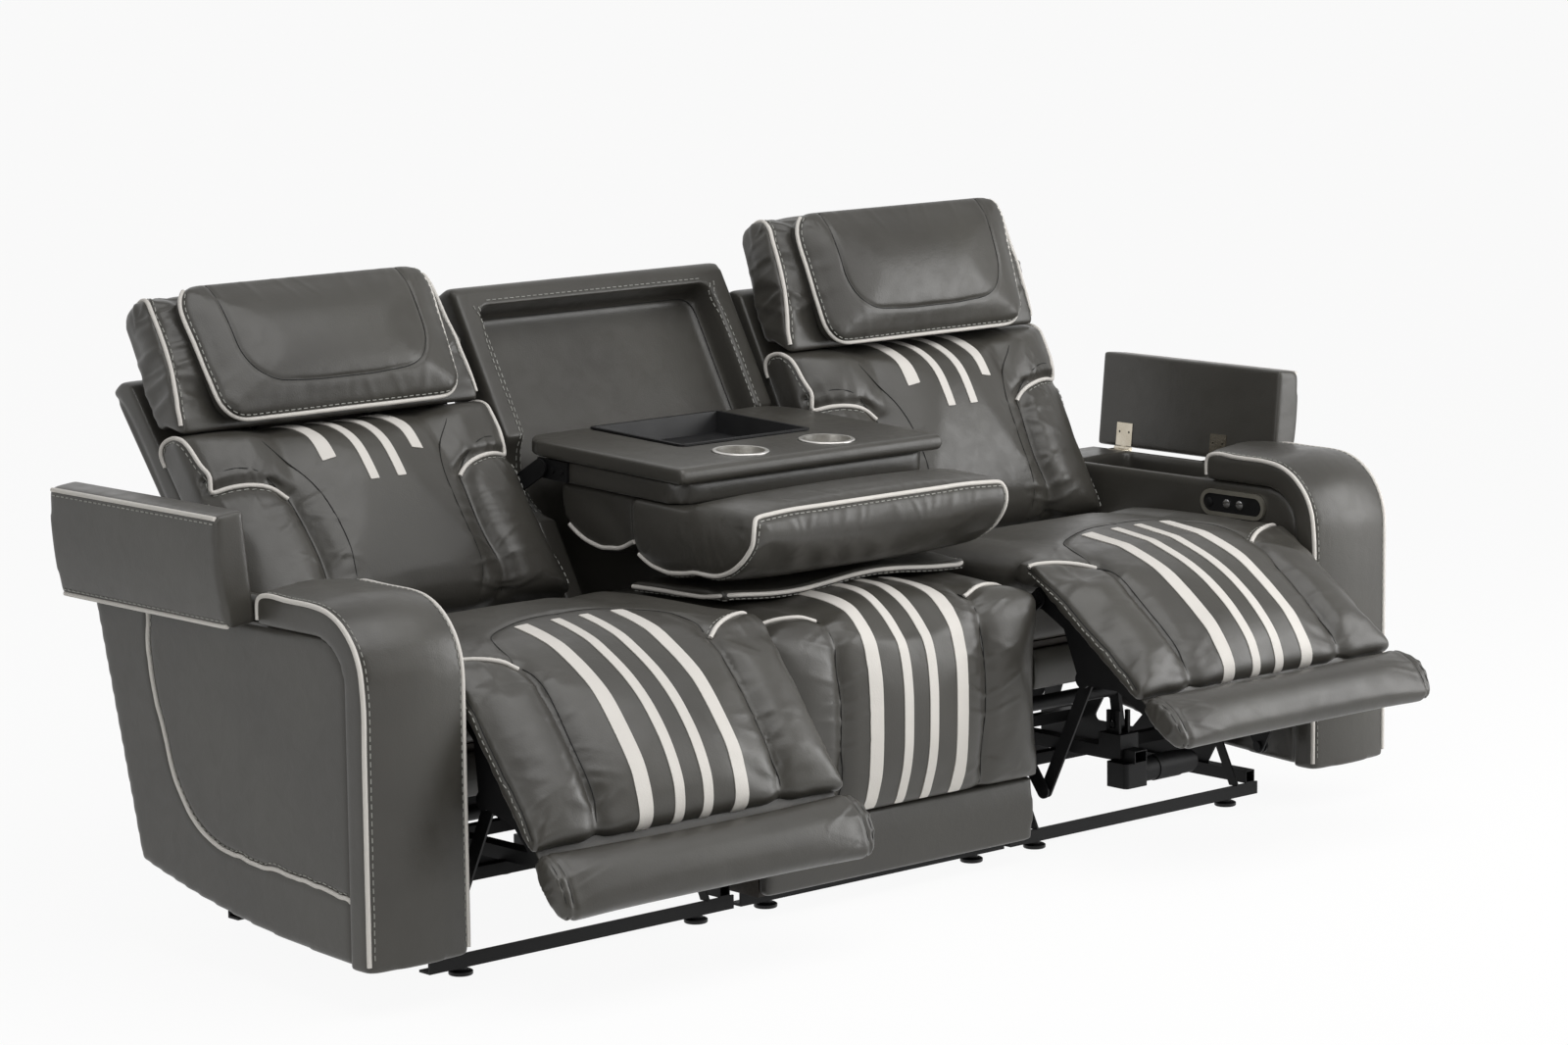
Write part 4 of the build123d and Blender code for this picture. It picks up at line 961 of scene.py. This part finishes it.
def make_back():
    """A back cushion with its piping, stitching and stripes, in the upright back's frame."""
    cover = make_back_cover()
    edges = lay_pair(cover, [mm(*p) for p in WING_EDGE])
    hems = lay_pair(cover, on_front(WING_HEM), BACKWARD)
    wings = [edge + hem for edge, hem in zip(edges, hems)]
    pieces = [cover] + piped_pair("wing", cover, wings, -0.009, slice(6, -6))
    bolsters = lay_pair(cover, on_front(BOLSTER_ROW), BACKWARD)
    pieces += stitch_pair("bolster_stitch", cover, bolsters, 0.0)
    for row, guide in enumerate((PANEL_SEAM, WAIST_SEAM, WING_FOLD)):
        pieces += seam_shade_pair(f"back_seam_{row}", cover, on_front(guide), BACKWARD)
    for number, (x, width, low) in enumerate(BACK_STRIPES):
        path = [mm(0, y, z) for y, z in ((-40, 432), (-78, 408), (-104, 375), (-125, 330), (-133, low))]
        pieces.append(stripe(f"back_stripe_{number}", cover, path, x, width))
    return pieces


both_sides(make_back(), mirrored(back_place), "back", {"back_cover": ("back_cushion", 0.7)})


# Headrests

BOX_WELT = [mm(268, -40, 652), mm(276, -70, 655), mm(279, -88, 640), mm(281, -95, 600),
            mm(283, -96, 540), mm(290, -95, 480), mm(297, -92, 446), mm(299, -88, 424)]
PILLOW_RIM = [(0, 408), (150, 408), (205, 414), (230, 440), (241, 530), (247, 610), (232, 640),
              (190, 647), (100, 646)]
PILLOW_MOUTH = [mm(190, -170, 640), mm(187, -175, 560), mm(180, -178, 500), mm(150, -176, 464),
                mm(90, -174, 454), mm(0, -174, 452)]


def make_headrest_box():
    """Headrest box: boxed sides with loose wrinkled leather, piped at its front corners."""
    box = skin_of("headrest_cover", ["left_headrest_box"], head_place["left"], voxel=0.007, ease=8)
    places = positions(box)
    front = np.clip((-places[:, 1] - 0.048) / 0.034, 0, 1)
    places[:, 2] -= 0.03 * front * np.clip((0.48 - places[:, 2]) / 0.036, 0, 1)
    reshape(box, places)
    welts = lay_pair(box, BOX_WELT)
    height = positions(box)[:, 2]
    # The lower rear stays flat, so that the box clears the outside back as it nods
    held = near_any(box, welts)
    held |= (height < 0.446) | (outward(box)[:, 1] > 0.3) & (height < 0.58)
    plump(box, held, pressure=3.0, slack=0.04, cap=0.013, ease=4)
    finer(box)
    puckers(box, welts, reach=0.026, depth=0.005, spacing=0.03, seed=61)
    groove(box, welts, depth=0.003, width=0.005)
    return [leather(box)] + piped_pair("headrest_box", box, lay_pair(box, BOX_WELT), 0.008)


def make_pillow():
    """Headrest pillow: a rounded trapezoid, piped round its sides, a U-shaped seam on its face."""
    pillow = skin_of("headrest_pillow", ["left_headrest_pillow"], head_place["left"], voxel=0.006, ease=10)
    outline = PILLOW_RIM + [(-x, z) for x, z in reversed(PILLOW_RIM[1:])]
    ring = [mm(x, -122, z) for x, z in outline]
    held = near_any(pillow, [lay_on(pillow, ring, closed=True)])
    held |= positions(pillow)[:, 1] > -0.104
    plump(pillow, held, pressure=5.0, slack=0.006, cap=0.014, ease=16)
    finer(pillow)
    puckers(pillow, [lay_on(pillow, ring, closed=True)], reach=0.02, depth=0.0012, spacing=0.045, seed=71)
    mouth = whole(PILLOW_MOUTH)
    groove(pillow, [lay_on(pillow, mouth, BACKWARD)], depth=0.0022, width=0.0045)
    pieces = [leather(pillow), seam("pillow_seam_shade", lay_on(pillow, mouth, BACKWARD))]
    open_rim = list(reversed(ring[:7])) + list(reversed(ring[9:]))[:6]
    rim = lay_on(pillow, open_rim)
    pieces.append(welt("pillow_welt", rim))
    pieces.append(stitch_row("pillow_stitch", pillow, rim, 0.009))
    return pieces


both_sides(make_headrest_box() + make_pillow(), mirrored(head_place), "headrest",
           {"headrest_cover": ("headrest_box", 0.6), "headrest_pillow": ("headrest_pillow", 0.8)})


# Outside backs

def make_outside_back():
    shell = skin_of("outside_back", ["left_back_shell"], back_place["left"], voxel=0.009, ease=6)
    finer(shell)
    edge = [mm(294, 30, 50), mm(294, 30, 300), mm(292, 30, 540), mm(270, 38, 566)]
    groove(shell, lay_pair(shell, edge), depth=0.003, width=0.006)
    thin_out(shell, 0.35)
    return leather(shell)


both_sides([make_outside_back()], mirrored(back_place), "back",
           {"outside_back": ("back_shell", 0.9)})


# Centre seat

CENTRE_SEAM = [mm(163, -395, 474), mm(161, -432, 452), mm(160, -452, 400), mm(160, -458, 300),
               mm(160, -456, 220), mm(160, -448, 154)]
CENTRE_LIP = [mm(293, -372, 466), mm(250, -384, 470), mm(205, -398, 474), mm(163, -404, 474)]


def make_centre_seat():
    cover = skin_of("centre_seat_cover", ["centre_seat_cushion"], DRAWING, voxel=0.0075)
    seams = lay_pair(cover, CENTRE_SEAM)
    lips = lay_pair(cover, CENTRE_LIP)
    groove(cover, seams, depth=0.007, width=0.015)
    groove(cover, lips, depth=0.004, width=0.012)
    places = positions(cover)
    held = near_any(cover, seams + lips)
    held |= (places[:, 1] > -0.03) | (np.abs(places[:, 0]) > 0.292)
    held |= places[:, 2] < 0.162
    plump(cover, held, pressure=4.0, slack=0.008, cap=0.014, ease=12)
    finer(cover)
    puckers(cover, seams, reach=0.022, depth=0.003, spacing=0.03, seed=81)
    groove(cover, seams, depth=0.006, width=0.0045)
    pieces = [leather(cover)] + seam_shade_pair("centre_seat_seam_shade_", cover, CENTRE_SEAM)
    pieces += piped_pair("centre_lip", cover, lay_pair(cover, CENTRE_LIP), 0.008)
    path = [mm(0, y, z) for y, z in ((-285, 492), (-340, 490), (-395, 482), (-432, 464), (-454, 420),
                                     (-464, 350), (-468, 280), (-462, 200), (-455, 152))]
    pieces += seat_stripes("centre_stripe", cover, path)
    place_all(pieces, DRAWING, "base", "centre_seat_cushion")


def make_panel(name, stands_for, ease):
    """A plain upholstered panel under the seats."""
    panel = skin_of(name, [stands_for], DRAWING, voxel=0.006, ease=ease)
    finer(panel)
    thin_out(panel, 0.4)
    place_all([leather(panel)], DRAWING, "base", stands_for)


def make_dust_cloth():
    """Black dust cloth from a recliner's deck down to its rear rail, a little slack."""
    cloth = grid("dust_cloth", 30, 16)
    places = positions(cloth)
    down = 0.5 - places[:, 1]
    wide = places[:, 0] * 2
    slack = 0.008 * (1 - wide ** 2) * np.sin(math.pi * down)
    ripple = 0.0015 * np.sin(places[:, 0] * 40) * np.sin(math.pi * down)
    reshape(cloth, np.stack([places[:, 0] * 0.52, 0.033 + 0.098 * down + slack + ripple,
                             0.331 - 0.225 * down], axis=1))
    modify(cloth, "SOLIDIFY", thickness=0.0012, offset=0.0)
    smooth_faces(cloth, 40)
    return give(cloth, lining, "black_plastic")


def make_filler():
    """The thin flap behind the centre seat's front, with a wavy piped edge."""
    flap = skin_of("centre_filler_cover", ["centre_filler_pad"], DRAWING, voxel=0.005, ease=6)
    places = positions(flap)
    front = np.clip((-0.18 - places[:, 1]) / 0.1, 0, 1)
    places[:, 2] += front * (0.006 + 0.006 * np.sin(places[:, 0] * 17 + 0.6))
    reshape(flap, places)
    finer(flap)
    thin_out(flap, 0.45)
    edge = [mm(-269, -80, 492), mm(-269, -160, 494), mm(-269, -240, 494)]
    edge += [mm(x, -298, 498 + 6 * math.sin(x * 0.017 + 0.6)) for x in range(-256, 257, 32)]
    edge += [mm(269, -240, 494), mm(269, -160, 494)]
    spots = lay_on(flap, edge)
    cord = welt("centre_filler_welt", spots)
    row = stitch_row("centre_filler_stitch", flap, spots, 0.008)
    place_all([leather(flap), cord, row], DRAWING, "base", "centre_filler_pad")


make_centre_seat()
make_panel("centre_kick_cover", "centre_kick_panel", 5)
make_panel("seat_apron_cover", "seat_aprons", 4)
both_sides([make_dust_cloth()], seat_place, "base")
make_filler()


# Centre back

def make_centre_back():
    cover = skin_of("centre_back_cover", ["centre_back_frame"], frame_place, voxel=0.007, ease=3)
    finer(cover)
    thin_out(cover, 0.4)
    pieces = [leather(cover)]
    edge = [mm(262, 6, -40), mm(262, 4, 100), mm(262, 4, 250), mm(262, 10, 318)]
    for number, spots in enumerate(lay_pair(cover, edge)):
        for row, aside in enumerate((-0.005, 0.005)):
            pieces.append(stitch_row(f"centre_back_stitch_{number}{row}", cover, spots, aside))
    hem = [mm(x, 1, 323) for x in (-238, -120, 0, 120, 238)]
    pieces.append(stitch_row("centre_roll_stitch", cover, lay_on(cover, hem), 0.0))
    well = whole([mm(-254, 59, 60), mm(-254, 59, 200), mm(-254, 59, 286), mm(-249, 59, 306),
                  mm(-232, 59, 314), mm(-100, 59, 314)])
    pieces.append(seam("centre_panel_seam_shade", lay_on(cover, well)))
    place_all(pieces, frame_place, "base", "centre_back_frame")


make_centre_back()


# Fold-down table

def clear_cups(piece):
    """Keeps a table layer's leather out of the two cup holders."""
    places = positions(piece)
    for x in (-0.095, 0.095):
        aside = places[:, :2] - (x, -0.15)
        gap = np.maximum(np.linalg.norm(aside, axis=1), 1e-6)
        places[:, :2] += aside * (np.maximum(0.0455 / gap, 1) - 1)[:, None]
    reshape(piece, places)


def make_table_layer(stands_for, voxel):
    layer = skin_of(f"{stands_for}_cover", [stands_for], table_place, voxel, ease=3)
    finer(layer)
    clear_cups(layer)
    thin_out(layer, 0.38)
    place_all([leather(layer)], table_place, "table", stands_for)


def make_table_cushions():
    cover = skin_of("table_cushion_cover", ["table_cushions"], table_place, voxel=0.007, ease=10)
    rim = whole([mm(-290, -108, 552), mm(-290, -160, 535), mm(-290, -250, 541),
                 mm(-290, -335, 554), mm(-290, -380, 585), mm(-290, -396, 612),
                 mm(-287, -394, 640), mm(-277, -390, 659), mm(-240, -386, 664),
                 mm(-120, -386, 665)])
    spots = lay_on(cover, rim)
    groove(cover, [spots], depth=0.004, width=0.012)
    places = positions(cover)
    held = near_any(cover, [spots])
    held |= (places[:, 2] > 0.666) | (places[:, 2] > 0.63) & (places[:, 1] > -0.235)
    plump(cover, held, pressure=3.0, slack=0.006, cap=0.01, ease=12)
    keep_width(cover, 0.289)
    finer(cover)
    spots = lay_on(cover, rim)
    puckers(cover, [spots], reach=0.022, depth=0.0012, spacing=0.034, seed=91)
    pieces = [leather(cover), welt("table_roll_welt", spots)]
    pieces.append(stitch_row("table_roll_stitch", cover, spots, 0.009))
    lumbar = [mm(-276, 84, 574), mm(-270, 20, 550), mm(-276, -50, 552), mm(-278, -90, 572)]
    for number, spots in enumerate(lay_pair(cover, lumbar)):
        pieces.append(welt(f"table_lumbar_welt_{number}", spots))
    place_all(pieces, table_place, "table", "table_cushions")


make_table_layer("table_pad", 0.0055)
make_table_layer("table_board", 0.006)
make_table_cushions()


# Arms

def make_arm_cap():
    """The J-shaped cap over an arm's front and top, in the right-hand arm's frame."""
    cap = skin_of("arm_cap", ["arm_caps"], DRAWING, voxel=0.0065, ease=4)
    edit(cap, bpy.ops.mesh.bisect, plane_co=(0, 0, 0), plane_no=(1, 0, 0), clear_inner=True)
    finer(cap)
    thin_out(cap, 0.6)
    lines = []
    for x in (934, 1118):
        path = [mm(x, -223, 562), mm(x, -224, 588), mm(x, -234, 600), mm(x, -300, 600),
                mm(x, -365, 599)]
        for turn in (22.5, 45, 67.5, 90):
            y = -365 - 112 * math.sin(math.radians(turn))
            z = 487 + 112 * math.cos(math.radians(turn))
            path.append(mm(x, y, z))
        path += [mm(x, -478, z) for z in (380, 260, 140, 80)]
        lines.append(lay_on(cap, path))
    pieces = piped_pair("arm_cap", cap, lines, -0.009, slice(8, None), CAP_WELT_R)
    return [leather(cap)] + pieces


def make_arm_body():
    """The arm's boxed side under the cap, with a welted outer panel, hollow behind its switch."""
    body = skin_of("arm_body", ["right_arm_body"], DRAWING, voxel=0.007, ease=3)
    low, high = (DRAWING.inverted() @ Vector(c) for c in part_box("right_power_button"))
    places = positions(body)
    gap = np.hypot(places[:, 1] - (low.y + high.y) / 2, places[:, 2] - (low.z + high.z) / 2)
    inner_wall = places[:, 0] < high.x + 0.012
    places[:, 0] += 0.006 * np.clip((0.022 - gap) / 0.008, 0, 1) * inner_wall
    reshape(body, places)
    finer(body)
    path = [mm(1115, y, z) for y, z in ((71, 545), (67, 461), (39, 366), (-7, 266), (-68, 213),
                                        (-168, 190), (-266, 184), (-363, 177), (-430, 169))]
    groove(body, [lay_on(body, path)], depth=0.004, width=0.006)
    thin_out(body, 0.3)
    spots = lay_on(body, path)
    pieces = [leather(body), welt("arm_side_welt", spots)]
    return pieces + [stitch_row("arm_side_stitch", body, spots, 0.009)]


def make_lid():
    """A storage lid, shut, in the right-hand arm's frame: piped round its top."""
    lid = skin_of("arm_lid", ["right_arm_lid"], lid_place["right"], voxel=0.006, ease=4)
    finer(lid)
    thin_out(lid, 0.4)
    lines = [lay_on(lid, [mm(x, y, 606) for y in (-214, -120, 0, 120, 212)])
             for x in (943, 1109)]
    return [leather(lid)] + piped_pair("arm_lid", lid, lines, 0.009)


both_sides(make_arm_cap() + make_arm_body(), arm_place, "base", {"arm_body": ("arm_body", 0.9)})
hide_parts("arm_caps")
both_sides(make_lid(), lid_place, "lid", {"arm_lid": ("arm_lid", 0.9)})


# Rigid parts carried over from the CAD model

FINISHES = {
    "base_rails": powder_coat, "mechanism_stays": powder_coat, "feet": black_abs,
    "seat_decks": plywood,
    "lid_hinge_bases": nickel, "switch_bezels": pewter, "switch_faces": black_abs,
    "centre_side_panels": plywood, "table_pivot_plates": powder_coat, "actuators": powder_coat,
    "table_tray": black_abs, "cup_holders": stainless, "table_arms": powder_coat,
}
for side in SIDES:
    for name in ("side_plates", "footrest_frame", "drive_link", "couplers", "drive_block",
                 "back_brackets"):
        FINISHES[f"{side}_{name}"] = powder_coat
    FINISHES[f"{side}_lid_hinge_leaves"] = nickel
    FINISHES[f"{side}_power_button"] = black_abs
    FINISHES[f"{side}_recline_button"] = chrome
    FINISHES[f"{side}_headrest_button"] = chrome
for name, finish in FINISHES.items():
    part = frame["nodes"][name]
    part.data.materials.clear()
    part.data.materials.append(finish)


# Floor, light and camera

def maths(tree, operation, first, second):
    """One sum on two values, each a socket or a number."""
    made = node(tree, "Math", {"operation": operation})
    for place, value in zip(made.inputs, (first, second)):
        if isinstance(value, float):
            place.default_value = value
        else:
            tree.links.new(value, place)
    return made.outputs[0]


def mixed(tree, share, first, second):
    """A mix of two shaders."""
    made = node(tree, "MixShader", Fac=share)
    tree.links.new(first.outputs[0], made.inputs[1])
    tree.links.new(second.outputs[0], made.inputs[2])
    return made


def make_floor():
    """A white floor that keeps its shadows and glows a little on its own for the lens."""
    bpy.ops.object.select_all(action="DESELECT")
    bpy.ops.mesh.primitive_plane_add(size=FLOOR_SIZE)
    floor = bpy.context.object
    floor.name = "studio_floor"
    made, tree, shader, where = finish_of("white_studio_floor")
    set_shader(tree, shader, {"Base Color": linear("#f2f2f0"), "Roughness": 0.8})
    rays = node(tree, "LightPath")
    seen = rays.outputs["Is Camera Ray"]
    for kind in ("Is Glossy Ray", "Is Transmission Ray"):
        seen = maths(tree, "MAXIMUM", seen, rays.outputs[kind])
    share = maths(tree, "MULTIPLY", seen, FLOOR_GLOW)
    look = mixed(tree, share, shader, node(tree, "Emission", {"Strength": 1.0}))
    tree.links.new(look.outputs[0], tree.nodes["Material Output"].inputs["Surface"])
    floor.data.materials.append(made)


def make_world():
    """White studio: the backdrop shines in glossy surfaces, the room in front is dimmer."""
    world = bpy.data.worlds.new("studio")
    bpy.context.scene.world = world
    world.use_nodes = True
    tree = world.node_tree
    white = (1, 1, 1, 1)
    ambient = tree.nodes["Background"]
    ambient.inputs["Color"].default_value = white
    ambient.inputs["Strength"].default_value = AMBIENT
    way = node(tree, "SeparateXYZ", Vector=node(tree, "TexCoord").outputs["Generated"])
    depth = spread(tree, way.outputs["Y"], 0.12, 1.0, (-0.9, 0.7))
    shine = node(tree, "Background", {"Color": white}, Strength=depth)
    backdrop = node(tree, "Background", {"Strength": 1.0, "Color": white})
    rays = node(tree, "LightPath")
    gloss = mixed(tree, rays.outputs["Is Glossy Ray"], ambient, shine)
    look = mixed(tree, rays.outputs["Is Camera Ray"], gloss, backdrop)
    tree.links.new(look.outputs[0], tree.nodes["World Output"].inputs["Surface"])


def softbox(name, place, aim, size, power):
    """A large square studio lamp aimed at a point."""
    lamp = bpy.data.lights.new(name, "AREA")
    lamp.shape = "RECTANGLE"
    lamp.size, lamp.size_y = size
    lamp.energy = power
    stand = bpy.data.objects.new(name, lamp)
    bpy.context.collection.objects.link(stand)
    stand.location = place
    stand.rotation_euler = (Vector(aim) - Vector(place)).to_track_quat("-Z", "Y").to_euler()


def make_camera():
    """The photograph's viewpoint: a long lens from the front left, a little above the seats."""
    turn, dip, roll = (math.radians(a) for a in (CAMERA_TURN, CAMERA_DIP, CAMERA_ROLL))
    ahead = Vector((math.sin(turn) * math.cos(dip), math.cos(turn) * math.cos(dip),
                    -math.sin(dip)))
    right = Vector((math.cos(turn), -math.sin(turn), 0))
    up = right.cross(ahead)
    across = right * math.cos(roll) + up * math.sin(roll)
    rise = up * math.cos(roll) - right * math.sin(roll)
    data = bpy.data.cameras.new("photo_view")
    data.lens = CAMERA_LENS
    data.sensor_width = 36.0
    data.clip_end = 200
    eye = bpy.data.objects.new("photo_view", data)
    bpy.context.collection.objects.link(eye)
    x, y, z = CAMERA_PLACE
    axes = Matrix((across, rise, -ahead)).transposed().to_4x4()
    eye.matrix_world = Matrix.Translation(mm(x, y + SHIFT, z)) @ axes
    bpy.context.scene.camera = eye


make_floor()
make_world()
softbox("top_softbox", (-0.2, -1.5, 3.4), (0, 0, 0.4), (4.0, 2.6), 84)
softbox("left_softbox", (-4.2, -1.8, 2.0), (0, 0, 0.5), (2.4, 2.4), 30)
softbox("right_softbox", (2.7, -2.0, 1.3), (0.5, -0.2, 0.5), (1.7, 2.2), 56)
softbox("front_softbox", (1.2, -4.8, 2.2), (0, 0, 0.5), (2.4, 2.0), 22)
make_camera()
bpy.context.scene.view_settings.view_transform = "Standard"
